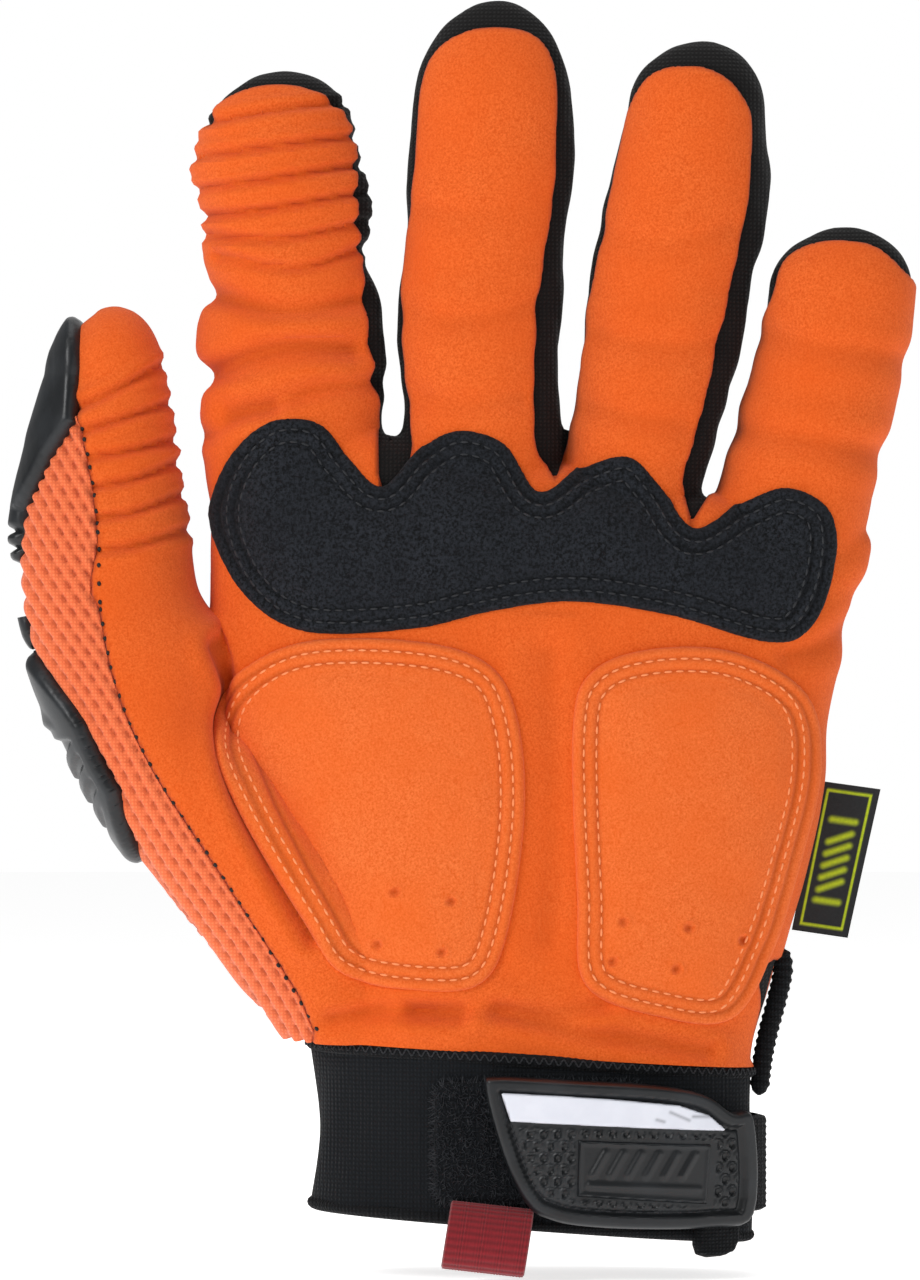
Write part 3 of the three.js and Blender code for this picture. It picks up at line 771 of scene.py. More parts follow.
def follow(piece, digit, stretch):
    """Rides on the hand; a digit's root or end stretch is left in place, with its transform baked."""
    if digit == "hand":
        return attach(piece, "hand")
    axis = digit_axis(digit) * MM
    if stretch == "root":
        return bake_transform(piece)
    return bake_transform(piece)


# %% Sew the panels
SUEDE_LIFT, KNIT_LIFT, WALL_LIFT, FABRIC_UNDER = 0.9, 0.5, -0.1, -1.2
KNIT_ROW_PITCH, KNIT_HOLE_PITCH = 2.1, 3.2  # millimetres between the thumb knit's rows and their holes
KNIT_ROW_HEADING = math.radians(-58)


def knit_rows(points):
    """Height of the thumb's diagonal knit rows, with a hole between each pair of loops."""
    along = points[:, 0] * math.cos(KNIT_ROW_HEADING) + points[:, 2] * math.sin(KNIT_ROW_HEADING)
    across = points[:, 2] * math.cos(KNIT_ROW_HEADING) - points[:, 0] * math.sin(KNIT_ROW_HEADING)
    across = across + 0.5 * np.sin(along / 9)
    row = 0.5 + 0.5 * np.cos(across * 2 * math.pi / KNIT_ROW_PITCH)
    stagger = np.floor(across / KNIT_ROW_PITCH) * 0.5
    hole = smoothstep(np.cos((along / KNIT_HOLE_PITCH + stagger) * 2 * math.pi), -0.5, 0.3)
    return row, (1 - row) ** 3 * hole


# Painted shade along a seam: strongest on it, fading within about width millimetres.
def seam_shade(distance, width=0.9):
    return 0.85 * np.exp(-(distance / width) ** 2)


panels = {
    "suede": hand.cut(hand.values["suede"]),
    "back": hand.cut(hand.values["back"]),
}
rest = hand.cut(-hand.values["suede"])
panels["side_knit"] = rest.cut(rest.values["side_knit"])
walls = rest.cut(-rest.values["side_knit"])
panels["wall"] = walls.cut(-walls.values["back"])

PANEL_WORDS = {"suede": "palm_suede", "back": "back_knit", "side_knit": "side_knit", "wall": "side_wall"}
sewn = {}
for panel, skin in panels.items():
    for digit, stretch, part in stretches(skin):
        if len(part.faces) < 40:
            continue
        words = PANEL_WORDS[panel]
        name = f"{digit}_{words}" if stretch is None else f"{digit}_{stretch}_{words}"
        relief = part.values["relief"]
        if panel == "suede":
            edge = part.values["suede"]
            lift = relief + SUEDE_LIFT * rolled(edge, 1.1)
            # painted shade in the seam at the panel's edge and in its deeper creases
            made = sew(name, part, lift, FABRIC_UNDER, "orange_suede",
                       seam_shade(edge, 0.5) + np.clip(-relief - 0.35, 0, 1) * 0.35)
        elif panel == "side_knit":
            part = part.finer()
            edge = np.minimum(-part.values["suede"], part.values["side_knit"])
            row, hole = knit_rows(part.points)
            lift = part.values["relief"] + KNIT_LIFT * rolled(edge, 1.4) + 0.5 * row - 0.4 * hole
            # painted shade in the knit's holes and between its rows
            made = sew(name, part, lift, FABRIC_UNDER, "orange_knit",
                       np.maximum(0.9 * hole, 0.35 * (1 - row) ** 2))
        elif panel == "back":
            edge = part.values["back"]
            lift = relief + KNIT_LIFT * rolled(edge, 1.4)
            # painted shade along the seam at the panel's edge
            made = sew(name, part, lift, FABRIC_UNDER, "orange_knit", seam_shade(edge))
        else:
            edge = np.minimum(-part.values["suede"], -part.values["back"])
            lift = relief + WALL_LIFT + 0.25 * waves(part.points, 7, 11)
            # painted shade along the wall's seams
            made = sew(name, part, lift, FABRIC_UNDER, "black_knit", seam_shade(edge))
        follow(made, digit, stretch)
        sewn[name] = made
print(len(sewn), "panels:", ", ".join(sewn))

# %% [markdown]
# ## Padded palm
# Three foam pads sit on the palm. Each is a flat patch of suede, held at its stitching, with the foam pushing
# it out. A cloth simulation of the flat patch gives the dome its shape; it is then scaled to the pad's `puff`
# in millimetres and laid over the hand's skin. The edge is rolled down, with two sewn
# channels and small pressed vent pits.

# %% Puff of a stitched patch
CLOTH_SPACING = 3.4  # millimetres between the patch's threads
CLOTH_ENLARGE = 0.01  # the patch is simulated at 10 times its size, where cloth solves steadily
CLOTH_FRAMES = 20
CLOTH_SLACK = -0.015  # the cloth is cut this much larger than its outline, so that it wrinkles a little
SEWN_EDGE = 5.4  # millimetres from the outline to the inner row of stitches


def flat_patch(loop):
    """A grid of vertices and quads inside a loop."""
    low, high = loop.min(0), loop.max(0)
    columns, rows = ((high - low) / CLOTH_SPACING).astype(int) + 1
    grid = np.array([[low[0] + i * CLOTH_SPACING, low[1] + j * CLOTH_SPACING]
                     for j in range(rows) for i in range(columns)])
    kept = inside(grid, loop) > 0
    number = np.cumsum(kept) - 1
    quads = [(a, a + 1, a + 1 + columns, a + columns)
             for j in range(rows - 1) for a in range(j * columns, (j + 1) * columns - 1)]
    quads = [[int(number[k]) for k in quad] for quad in quads if all(kept[k] for k in quad)]
    return grid[kept], quads


def puff_height(loop):
    """Plan points and how far the foam lifts them there, from 0 to 1."""
    plan, quads = flat_patch(loop)
    depth = inside(plan, loop)
    mesh = bpy.data.meshes.new("patch")
    mesh.from_pydata([(x * CLOTH_ENLARGE, z * CLOTH_ENLARGE, 0) for x, z in plan], [], quads)
    patch = in_scene("patch", mesh)
    sewn_group = patch.vertex_groups.new(name="sewn")
    sewn_group.add(np.nonzero(depth < SEWN_EDGE)[0].tolist(), 1.0, "REPLACE")
    cloth = patch.modifiers.new("puff", "CLOTH")
    cloth.settings.quality, cloth.settings.mass = 5, 0.2
    cloth.settings.tension_stiffness = cloth.settings.compression_stiffness = 12
    cloth.settings.bending_stiffness = 0.6
    cloth.settings.shrink_min = CLOTH_SLACK
    cloth.settings.use_pressure, cloth.settings.uniform_pressure_force = True, 4
    cloth.settings.vertex_group_mass = "sewn"
    cloth.settings.effector_weights.gravity = 0
    cloth.point_cache.frame_start, cloth.point_cache.frame_end = 1, CLOTH_FRAMES
    for frame_number in range(1, CLOTH_FRAMES + 1):
        bpy.context.scene.frame_set(frame_number)
    ready = patch.evaluated_get(bpy.context.evaluated_depsgraph_get()).to_mesh()
    moved = np.empty(len(ready.vertices) * 3)
    ready.vertices.foreach_get("co", moved)
    bpy.context.scene.frame_set(1)
    bpy.data.objects.remove(patch)
    bpy.data.meshes.remove(mesh)
    height = np.abs(moved.reshape(-1, 3)[:, 2])
    print("  simulated puff", (height.max() / CLOTH_ENLARGE).round(2), "mm")
    return plan, height / max(np.percentile(height, 97), 1e-9)


def laid_over(points, plan, height):
    """Heights known on the plan, read at other points by a smooth weighted average."""
    result = np.empty(len(points))
    for s in range(0, len(points), 2048):
        gap = ((points[s:s + 2048, None] - plan) ** 2).sum(2)
        weight = np.exp(-gap / (2 * (0.7 * CLOTH_SPACING) ** 2)) + 1e-12
        result[s:s + 2048] = (weight * height).sum(1) / weight.sum(1)
    return result


# %% The three pads
PADS = {
    "knuckle_pad": dict(
        outline=[(-61, 136), (-58, 148), (-50, 155.4), (-41, 155), (-35, 148), (-28.6, 142.6), (-22, 149),
                 (-14, 153.6), (-5, 151), (1.5, 141.4), (10, 146), (19, 148.6), (25, 143), (31.5, 134.4),
                 (41, 139.2), (50, 142.6), (58, 138), (58.6, 127), (54, 115.6), (46, 112.6), (27, 117.8),
                 (8, 120.4), (-8, 118.4), (-22, 115.2), (-43, 114.6), (-55, 122)],
        puff=1.3, vents=[], material="black_suede", thread="black_thread", base=0.7),
    "thenar_pad": dict(
        outline=[(-44, 112.6), (-22, 112.8), (-8, 108.4), (-2.4, 98), (-1, 80), (-4, 58), (-9, 47.2),
                 (-20, 45.4), (-36, 48.6), (-44, 59.4), (-56, 80), (-61.2, 94), (-57, 105.4)],
        puff=1.7, vents=[(-38.8, 66.2), (-25.4, 64.6), (-15, 62.7), (-28.8, 54.4), (-16.7, 52.9)],
        material="pad_suede", thread="orange_thread", base=1.0),
    "hypothenar_pad": dict(
        outline=[(8.2, 96), (12, 107), (24, 111.4), (40, 110.6), (53, 102.6), (55.4, 88), (51.4, 70),
                 (45.8, 52.6), (38.2, 40), (25, 40.4), (10.6, 46.6), (9, 64)],
        puff=1.7, vents=[(17.7, 58.8), (29.8, 57.7), (40, 55.4), (15.8, 51.2), (27.5, 49.8)],
        material="pad_suede", thread="orange_thread", base=1.0),
}
STITCH_ROWS = (2.3, 4.7)  # millimetres in from a pad's edge
VENT_RADIUS = 0.75
PAD_EDGE = 1.5  # thickness at the edge

flat = hand.points[:, [0, 2]]
for name, pad in PADS.items():
    loop = closed_curve(pad["outline"], 8)
    depth = np.minimum(inside(flat, loop), -hand.points[:, 1] - 1)
    patch = hand.cut(depth).finer()
    plan_points = patch.points[:, [0, 2]]
    depth = inside(plan_points, loop)
    plan, height = puff_height(loop)
    dome = np.clip(laid_over(plan_points, plan, height), 0, 1.15) * smoothstep(depth, 4.6, 9)
    channels = sum(np.exp(-((depth - row) / 0.42) ** 2) for row in STITCH_ROWS)
    vents = np.zeros(len(depth))
    for vent in pad["vents"]:
        reach = np.linalg.norm(plan_points - vent, axis=1) / VENT_RADIUS
        vents += np.exp(-reach**2) - 0.35 * np.exp(-((reach - 1.7) / 0.5) ** 2)
    fray = 0.12 * waves(patch.points, 2.2, 21)
    under = 0.55 * patch.values["relief"] + pad["base"] - 0.5
    lift = under + 0.5 + PAD_EDGE * rolled(depth, 1.3) + pad["puff"] * dome - 0.38 * channels - 0.8 * vents
    lift += fray * (name == "knuckle_pad") + 0.1 * waves(patch.points, 9, 8)
    # painted shade in the stitched channels and the vent pits
    made = sew(name, patch, lift, under, pad["material"],
               0.5 * np.clip(channels, 0, 1) + 0.45 * np.clip(vents, 0, 1))
    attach(made, "hand")
    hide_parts(name)
    pad["object"], pad["loop"] = made, loop
print("pads:", ", ".join(PADS))

# %% [markdown]
# ## Moulded guards
# The guards are cut from the same skin, so they follow the hand, and are lifted by their moulded profile: a
# rounded edge, a raised panel and chevron ribs.

# %% Thumb guard
GUARD_LIFT, GUARD_EDGE_ROUND = 3.2, 1.0
GUARD_UNDER = 0.2
ROOT_GUARD = [(-95.4, 111), (-87.5, 101), (-80, 90), (-77.2, 79), (-74, 69.6), (-140, 69.6), (-140, 121.4),
              (-97.8, 121.4)]
UPPER_GUARD = [(-98.6, 123), (-97.9, 130), (-97, 138), (-92, 148), (-87.4, 155), (-86.6, 166), (-86.6, 178),
               (-140, 178), (-140, 123)]
CHEVRONS = [  # V ribs of the lower guard, as lines of (y, z)
    [(-16, 94), (-5, 88.5), (16, 93.5)], [(-16, 89.4), (-5, 83.9), (16, 89.2)],
    [(-16, 84.8), (-5, 79.3), (16, 84.9)], [(-16, 80.2), (-5, 74.7), (16, 80.6)],
]
BREAK_RIBS = (124.6, 127.8, 131, 134.2)  # heights of the small ribs above the flex break


def ridges(points, lines, half_width):
    return np.max([smoothstep(half_width - line_distance(points, line), -0.5, 0.6) for line in lines], axis=0)


flat = hand.points[:, [0, 2]]


def guard_reach(points):
    """Inside the guard's two long edges, on the back and on the palm side."""
    return np.minimum(13 - points[:, 1], points[:, 1] + 17.5)


for guard_name, outline in (("root", ROOT_GUARD), ("upper", UPPER_GUARD)):
    field = np.minimum(inside(flat, np.array(outline, float)), guard_reach(hand.points))
    skin = hand.cut(field)
    for digit, stretch, part in stretches(skin):
        if len(part.faces) < 30 or (guard_name == "root") != (digit == "hand"):
            continue
        part = part.finer()
        plan_points = part.points[:, [0, 2]]
        edge = np.minimum(inside(plan_points, np.array(outline, float)), guard_reach(part.points))
        side_view = part.points[:, 1:]
        lift = GUARD_LIFT * (0.25 + 0.75 * rolled(edge, GUARD_EDGE_ROUND))
        dark = np.zeros(len(lift))
        if guard_name == "root":
            ribs = ridges(side_view, CHEVRONS, 1.15)
            lower = smoothstep(95.5 - part.points[:, 2], 0, 1.2)
            lift -= 1.1 * smoothstep(edge, 1.8, 3) * (1 - 0.9 * ribs) * lower
            lift += 0.9 * smoothstep(edge, 3.0, 4.2) * smoothstep(part.points[:, 2], 96.5, 98.5)
            # painted shade in the recessed panel between the chevron ribs
            dark = 0.6 * lower * (1 - ribs) * smoothstep(edge, 1.8, 3)
        else:
            groove = np.max([np.exp(-((part.points[:, 2] - h) / 0.6) ** 2) for h in BREAK_RIBS], axis=0)
            lift -= 1.7 * groove * smoothstep(-part.points[:, 0], 92.5, 95)
            lift += 0.5 * smoothstep(edge, 2.6, 4.4)
        name = "thumb_guard_root" if guard_name == "root" else f"thumb_{stretch}_guard"
        made = sew(name, part, lift + 0.3, GUARD_UNDER, "rubber", dark)
        follow(made, digit, stretch)
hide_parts("thumb_guard_root")
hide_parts("thumb_guard_middle")
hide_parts("thumb_guard_tip")

# %% Knuckle guard and finger guards on the back
KNUCKLE_GUARD = [(-54, 112), (-56, 134), (-46, 150), (-28, 141), (-9, 153), (8, 141), (24, 149), (38, 134),
                 (52, 138), (54, 122), (40, 108), (0, 100), (-40, 102)]
GUARD_SPLITS = [[(-27, 141), (-22, 118)], [(8, 141), (7, 117)], [(38, 134), (30, 115)]]
KNUCKLES = [(-42, 134), (-8, 136), (22, 132), (45, 124)]
CROWN_FLAT = 20.4  # the flat top the glove rests on, palm side up


def oval(centre, half_length, half_width, lean, count=28):
    turn = np.linspace(0, 2 * math.pi, count, endpoint=False)
    along = np.sign(np.cos(turn)) * np.abs(np.cos(turn)) ** 0.75 * half_length
    across = np.sign(np.sin(turn)) * np.abs(np.sin(turn)) ** 0.75 * half_width
    angle = math.radians(lean)
    return np.stack([centre[0] + across * math.cos(angle) + along * math.sin(angle),
                     centre[1] + along * math.cos(angle) - across * math.sin(angle)], 1)


def back_skin(loop):
    near = hand.cut(np.minimum(inside(hand.points[:, [0, 2]], loop), hand.points[:, 1] - 4))
    edge = np.minimum(inside(near.points[:, [0, 2]], loop), near.points[:, 1] - 4)
    return near, edge


loop = closed_curve(KNUCKLE_GUARD, 6)
skin, edge = back_skin(loop)
plan_points = skin.points[:, [0, 2]]
domes = np.max([1 - np.linalg.norm(plan_points - k, axis=1) / 12 for k in KNUCKLES], axis=0)
splits = np.min([line_distance(plan_points, line) for line in GUARD_SPLITS], axis=0)
lift = 2.6 * rolled(edge, 2) + 1.6 * smoothstep(domes, 0, 0.7) * smoothstep(edge, 2, 6)
lift -= 1.3 * np.exp(-(splits / 1.3) ** 2) * smoothstep(edge, 1.5, 3)
rings = np.exp(-((np.min([np.abs(np.linalg.norm(plan_points - k, axis=1) - 8) for k in KNUCKLES], axis=0))
                 / 0.6) ** 2) * smoothstep(edge, 2, 4)
lift = np.minimum(lift - 0.5 * rings, (CROWN_FLAT - skin.points[:, 1]) / np.maximum(skin.normals[:, 1], 0.3))
lift = np.maximum(lift, 0.6)
# painted shade in the split grooves and the rings round the knuckles
made = sew("knuckle_guard", skin, lift, -0.3, "rubber",
           0.5 * np.maximum(np.exp(-(splits / 1.0) ** 2), rings))
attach(made, "hand")
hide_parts("knuckle_guard")

for name in DIGITS[:4]:
    root, middle = HINGES[f"{name}_root_flex"], HINGES[f"{name}_middle_flex"]
    axis = digit_axis(name)
    end = root + axis * (DIGIT_TIPS[name][1] - root[2] - 10)
    for body, low, high, node in ((f"{name}_base", root, middle, f"{name}_guard"),
                                  (f"{name}_tip", middle, end, f"{name}_tip_guard")):
        centre, half = (low + high) / 2, np.linalg.norm(high - low) / 2 - 3.6
        loop = oval(centre[[0, 2]], half, 7.6, DIGIT_LEAN[name])
        skin, edge = back_skin(loop)
        height = (skin.points - centre) @ axis
        bars = np.exp(-(((height + 20) % 4.4 - 2.2) / 0.55) ** 2) * smoothstep(edge, 2.2, 3.2)
        lift = 2.5 * rolled(edge, 1.6) - 0.9 * bars
        # painted shade in the cross grooves
        made = sew(node, skin, lift, -0.3, "rubber", 0.6 * bars)
        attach(made, body)
        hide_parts(node)
print("guards on the back: 9")

# %% [markdown]
# ## Cuff and closure
# The cuff is a stretch-knit tube. Everything on it is laid on its surface at a set distance out: the fuzzy
# loop patch, the hook patch, and the moulded tab with its border, dimples, plate and reflective inlay.

# %% Faces of grids and tubes
def grid_faces(rows, columns):
    """Two triangles for each square of a grid of points."""
    a = (np.arange(rows - 1)[:, None] * columns + np.arange(columns - 1)).ravel()
    return np.vstack([np.stack([a, a + 1, a + 1 + columns], 1),
                      np.stack([a, a + 1 + columns, a + columns], 1)])


def tube_faces(rings, around, closed):
    """Triangles between a tube's rings, and from the last back to the first if it's closed."""
    i, j = np.meshgrid(np.arange(rings if closed else rings - 1), np.arange(around), indexing="ij")
    corner = lambda di, dj: (((i + di) % rings) * around + (j + dj) % around).ravel()
    return np.vstack([np.stack([corner(0, 0), corner(1, 0), corner(1, 1)], 1),
                      np.stack([corner(0, 0), corner(1, 1), corner(0, 1)], 1)])


# %% A surface round the cuff
CUFF_CENTRE, CUFF_HALF, CUFF_POWER = 0.3, (43, 21.5), 2.3


def cuff_surface(turn, out):
    """Point and outward normal in plan at an angle round the cuff; turn 0 faces the palm."""
    a, b = CUFF_HALF[0] + out, CUFF_HALF[1] + out
    s, c = np.sin(turn), -np.cos(turn)
    px = a * np.sign(s) * np.abs(s) ** (2 / CUFF_POWER)
    py = b * np.sign(c) * np.abs(c) ** (2 / CUFF_POWER)
    nx = np.sign(px) * np.abs(px / a) ** (CUFF_POWER - 1) / a
    ny = np.sign(py) * np.abs(py / b) ** (CUFF_POWER - 1) / b
    size = np.hypot(nx, ny) + 1e-12
    return px + CUFF_CENTRE, py, nx / size, ny / size


def cuff_skin(out, turn_range, z_range, step=0.5):
    """A Skin on the cuff at a distance out."""
    turns = np.linspace(*turn_range, int((turn_range[1] - turn_range[0]) * 40 / step))
    heights = np.arange(z_range[0], z_range[1] + step, step)
    turn, height = np.meshgrid(turns, heights)
    px, py, nx, ny = cuff_surface(turn.ravel(), out)
    points = np.stack([px, py, height.ravel()], 1)
    normals = np.stack([nx, ny, np.zeros(len(px))], 1)
    return Skin(points, normals, grid_faces(*turn.shape))


def swept_band(name, profile, columns, material, ripple=None):
    """A closed tube round the cuff. Profile rows: distance out, share from rim to top, extra height."""
    turn = np.linspace(0, 2 * math.pi, columns, endpoint=False)
    rings = []
    for row, (out, share, extra) in enumerate(profile):
        grown = out + (ripple(turn, row) if ripple else 0)
        px, py, nx, ny = cuff_surface(turn, 0)
        px, py = px + nx * grown, py + ny * grown
        height = line_height(CUFF_RIM, px) * (1 - share) + line_height(CUFF_TOP, px) * share + extra
        rings.append(np.stack([px, py, height], 1))
    rows = len(profile)
    i, j = np.meshgrid(np.arange(rows), np.arange(columns), indexing="ij")
    corner = lambda di, dj: (((i + di) % rows) * columns + (j + dj) % columns).ravel()
    faces = np.vstack([np.stack([corner(0, 0), corner(0, 1), corner(1, 1)], 1),
                       np.stack([corner(0, 0), corner(1, 1), corner(1, 0)], 1)])
    made = add_mesh(name, np.vstack(rings), faces, material)
    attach(made, "hand")
    return made


# %% Cuff band and bindings
CUFF_THICK = 2.4
CUFF_WALES = 132  # knitted ribs round the cuff
CUFF_ROWS = 26


def cuff_ripple(turn, row):
    """Knitted ribs, and the soft buckling of stretch fabric across them."""
    outer = 1.0 if row < CUFF_ROWS else 0.3
    share = row / CUFF_ROWS if row < CUFF_ROWS else (CUFF_ROWS + 6 - row) / 6
    waist = -1.9 * np.sin(math.pi * share) * smoothstep(-np.sin(turn), 0.35, 0.95)
    return waist + outer * (0.035 * np.cos(turn * CUFF_WALES) + 0.2 * np.sin(turn * 5 + row * 0.13 + 0.4)
                            + 0.16 * np.sin(turn * 11 - row * 0.3))


outside_rows = [(0, s, 0) for s in np.linspace(0.03, 0.96, CUFF_ROWS)]
inside_rows = [(-CUFF_THICK, s, 0) for s in np.linspace(0.96, 0.03, 6)]
band = swept_band("cuff_band", outside_rows + inside_rows, CUFF_WALES * 6, "cuff_knit",
                  cuff_ripple)
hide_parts("cuff_band")


def binding_profile(share, low, high, out, inner, count=14):
    """A folded tape seen end on: a flattened oval from low to high."""
    turns = np.linspace(math.pi, 3 * math.pi, count, endpoint=False)
    middle, half = (low + high) / 2, (high - low) / 2
    return [((out + inner) / 2 - (out - inner) / 2 * math.cos(t), share, middle + half * math.sin(t))
            for t in turns]


def tape_ripple(turn, row):
    return 0.07 * np.sin(turn * 210)


top_binding = swept_band("cuff_top_binding", binding_profile(1, -2.8, 0.3, 0.9, -2.9)[::-1], 1260, "binding",
                         tape_ripple)
rim_binding = swept_band("cuff_rim_binding", binding_profile(0, 0, 2.6, 0.55, -2.9)[::-1], 1260, "binding",
                         tape_ripple)
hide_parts("cuff_top_binding")
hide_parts("cuff_rim_binding")
print("cuff and bindings made")

# %% Loop patch, hook patch, tab, inlay and plate
FRONT = (-1.25, 1.25)  # angles that cover the palm side of the cuff


def on_cuff(outline, out, curved=0):
    """The cuff's surface inside an outline, with the distance to its edge."""
    loop = closed_curve(outline, curved) if curved else np.array(outline, float)
    low, high = loop.min(0), loop.max(0)
    skin = cuff_skin(out, FRONT, (low[1] - 1, high[1] + 1))
    skin = skin.cut(inside(skin.points[:, [0, 2]], loop))
    return skin, inside(skin.points[:, [0, 2]], loop)


def rounded_box(x0, z0, x1, z1, radius):
    corners = []
    for cx, cz, start in ((x1 - radius, z0 + radius, -90), (x1 - radius, z1 - radius, 0),
                          (x0 + radius, z1 - radius, 90), (x0 + radius, z0 + radius, 180)):
        for step in range(7):
            a = math.radians(start + 15 * step)
            corners.append((cx + radius * math.cos(a), cz + radius * math.sin(a)))
    return corners


skin, edge = on_cuff(rounded_box(-18.5, 4.6, 22, 28, 3.2), 0.3)
loop_patch = sew("loop_patch", skin, 1.3 * rolled(edge, 1.1) + 0.12 * waves(skin.points, 1.4, 2), -0.3,
                 "cuff_knit")
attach(loop_patch, "hand")
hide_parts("loop_patch")

skin, edge = on_cuff(rounded_box(1, 6, 26, 22, 1), 2.5)
hook_patch = sew("hook_patch", skin, 1.0 * rolled(edge, 0.5), 0, "binding")
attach(hook_patch, "closure")
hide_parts("hook_patch")

TAB_OUTLINE = [(-8.7, 27.6), (-6.6, 29.2), (6, 28.6), (22.3, 27.6), (30.2, 26.4), (34.4, 24.8), (38, 22),
               (42, 20.5), (42, 2), (34, -0.2), (20, -0.2), (8.8, 0.6), (3.3, 1.9), (0, 3.8), (-3.3, 9),
               (-6.5, 17.9)]
INLAY = [(-5.7, 26.2), (-3.8, 20.6), (38, 18.4), (34.4, 21.6), (28.6, 23.6), (16, 24.9), (6, 25.6)]
PLATE = [(9.2, 17.1), (34.6, 16), (33.8, 4.4), (8.9, 6.2)]
PLATE_MARKS = [  # a plain row of slanted bars over a level one
    [(x, 10.8 - 0.03 * x), (x + 2.4, 15 - 0.03 * x)] for x in (12, 15.4, 18.8, 22.2, 25.6, 29)
] + [[(11.4, 8.4), (32, 7.4)]]
DIMPLE_PITCH, DIMPLE_SIZE = 2.6, (0.72, 0.98)
ROW_SHARE = 0.87  # staggered rows sit this share of the pitch apart

tab_loop = closed_curve(TAB_OUTLINE, 5)
skin, edge = on_cuff(tab_loop, 3.7)
skin = skin.finer()
plan_points = skin.points[:, [0, 2]]
edge = inside(plan_points, tab_loop)
row = np.round(plan_points[:, 1] / (DIMPLE_PITCH * ROW_SHARE))
across = (plan_points[:, 0] / DIMPLE_PITCH + 0.5 * (row % 2) + 0.5) % 1 - 0.5
up = plan_points[:, 1] - row * DIMPLE_PITCH * ROW_SHARE
dimple = np.hypot(across * DIMPLE_PITCH / DIMPLE_SIZE[0], up / DIMPLE_SIZE[1])
plate_field = inside(plan_points, np.array(PLATE, float))
inlay_field = inside(plan_points, np.array(INLAY, float))
dimpled = (smoothstep(edge, 3.8, 4.6) * smoothstep(-plate_field, 0.4, 1)
           * smoothstep(-inlay_field, 0.6, 1.2))  # clear of the border, the plate and the inlay
lift = 2.9 * rolled(edge, 1.1)
recess = smoothstep(edge, 2.3, 2.9)
lift -= 0.75 * recess
lift += (0.35 * np.exp(-((dimple - 1) / 0.32) ** 2) * dimpled
         - 0.3 * smoothstep(1 - dimple, 0, 0.5) * dimpled)
lift -= 0.4 * np.exp(-((edge - 3.3) / 0.35) ** 2)
# painted shade in the dimples' pits and at the step down into the recess
dark = 0.45 * smoothstep(1 - dimple, 0, 0.4) * dimpled + 0.6 * np.exp(-((edge - 2.75) / 0.4) ** 2)
tab = sew("closure_tab", skin, lift, 0, "rubber", dark)
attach(tab, "closure")
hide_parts("closure_tab")

skin, edge = on_cuff(PLATE, 5.6)
skin = skin.finer()
plan_points = skin.points[:, [0, 2]]
edge = inside(plan_points, np.array(PLATE, float))
marks = ridges(plan_points, PLATE_MARKS, 0.62)
frame_line = np.exp(-((edge - 0.55) / 0.35) ** 2)
# painted shade on the recessed ground between the raised marks
plate = sew("tab_plate", skin, 0.85 * rolled(edge, 0.4) + 0.3 * frame_line + 0.4 * marks, 0, "rubber",
            0.35 * (1 - marks) * smoothstep(edge, 0.8, 1.3))
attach(plate, "closure")
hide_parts("tab_plate")

SCRATCHES = [[(26.8, 22.3), (30.4, 20.7)], [(31.2, 21.4), (34.2, 21.3)], [(24.2, 20.9), (25.6, 20.5)]]
reflective, reflective_tree, reflective_shader = new_material(
    "reflective_film", Roughness=0.32, Specular_IOR_Level=0.6, Coat_Weight=0.3, Coat_Roughness=0.2)
# Retroreflective film: glass beads under clear vinyl, pale and even, with a few dark scuffs.
scuff = groove_of(reflective_tree)
pale = mixed_colour(reflective_tree, grain(reflective_tree, 5), linear("#D5D9E4"), linear("#E9ECF5"))
reflective_tree.links.new(mixed_colour(reflective_tree, scuff, pale, linear("#4A4D55")),
                          reflective_shader.inputs["Base Color"])
bumped(reflective_tree, reflective_shader, grain(reflective_tree, 0.4), 0.05, 0.1)
MATERIALS["reflective"] = reflective

skin, edge = on_cuff(INLAY, 5.7)
skin = skin.finer()
edge = inside(skin.points[:, [0, 2]], np.array(INLAY, float))
scuffs = ridges(skin.points[:, [0, 2]], SCRATCHES, 0.14)
inlay = sew("reflective_inlay", skin, 0.6 * rolled(edge, 0.35) - 0.05 * scuffs, 0, "reflective",
            scuffs)
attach(inlay, "closure")
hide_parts("reflective_inlay")

# %% Strap that the tab turns on
STRAP_THICK = 1.8
STRAP_LOW, STRAP_TOP = 2.2, 20.7  # heights of its edges
skin = cuff_skin(1.0, (0.75, 2.9), (0.8, 22))
side = skin.points
low_edge = side[:, 2] - np.where(side[:, 1] < 0, STRAP_LOW, 2.5)
top_edge = STRAP_TOP - side[:, 2]
starts = np.minimum(side[:, 0] - 34, 50)
ends_back = np.where(side[:, 1] > 0, side[:, 0] - 18, 50)
skin = skin.cut(np.minimum.reduce([low_edge, top_edge, starts, ends_back]))
side = skin.points
edge = np.minimum(side[:, 2] - STRAP_LOW, STRAP_TOP - side[:, 2])
weave = 0.12 * np.cos(side[:, 2] * 2 * math.pi / 1.3) + 0.1 * np.cos(side[:, 1] * 2 * math.pi / 1.1)
strap = sew("closure_strap", skin, STRAP_THICK * rolled(edge, 0.6) + weave, 0, "binding",
            0.4 * np.exp(-((edge - 1.6) / 0.3) ** 2))
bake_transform(strap)
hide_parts("closure_strap")
print("closure made")

# %% [markdown]
# ## Loop, label and piping
# Small sewn-on parts: a red webbing loop to pull the glove on by, a folded woven label at the outer edge, and
# the gathered black piping that finishes the vent at the wrist.

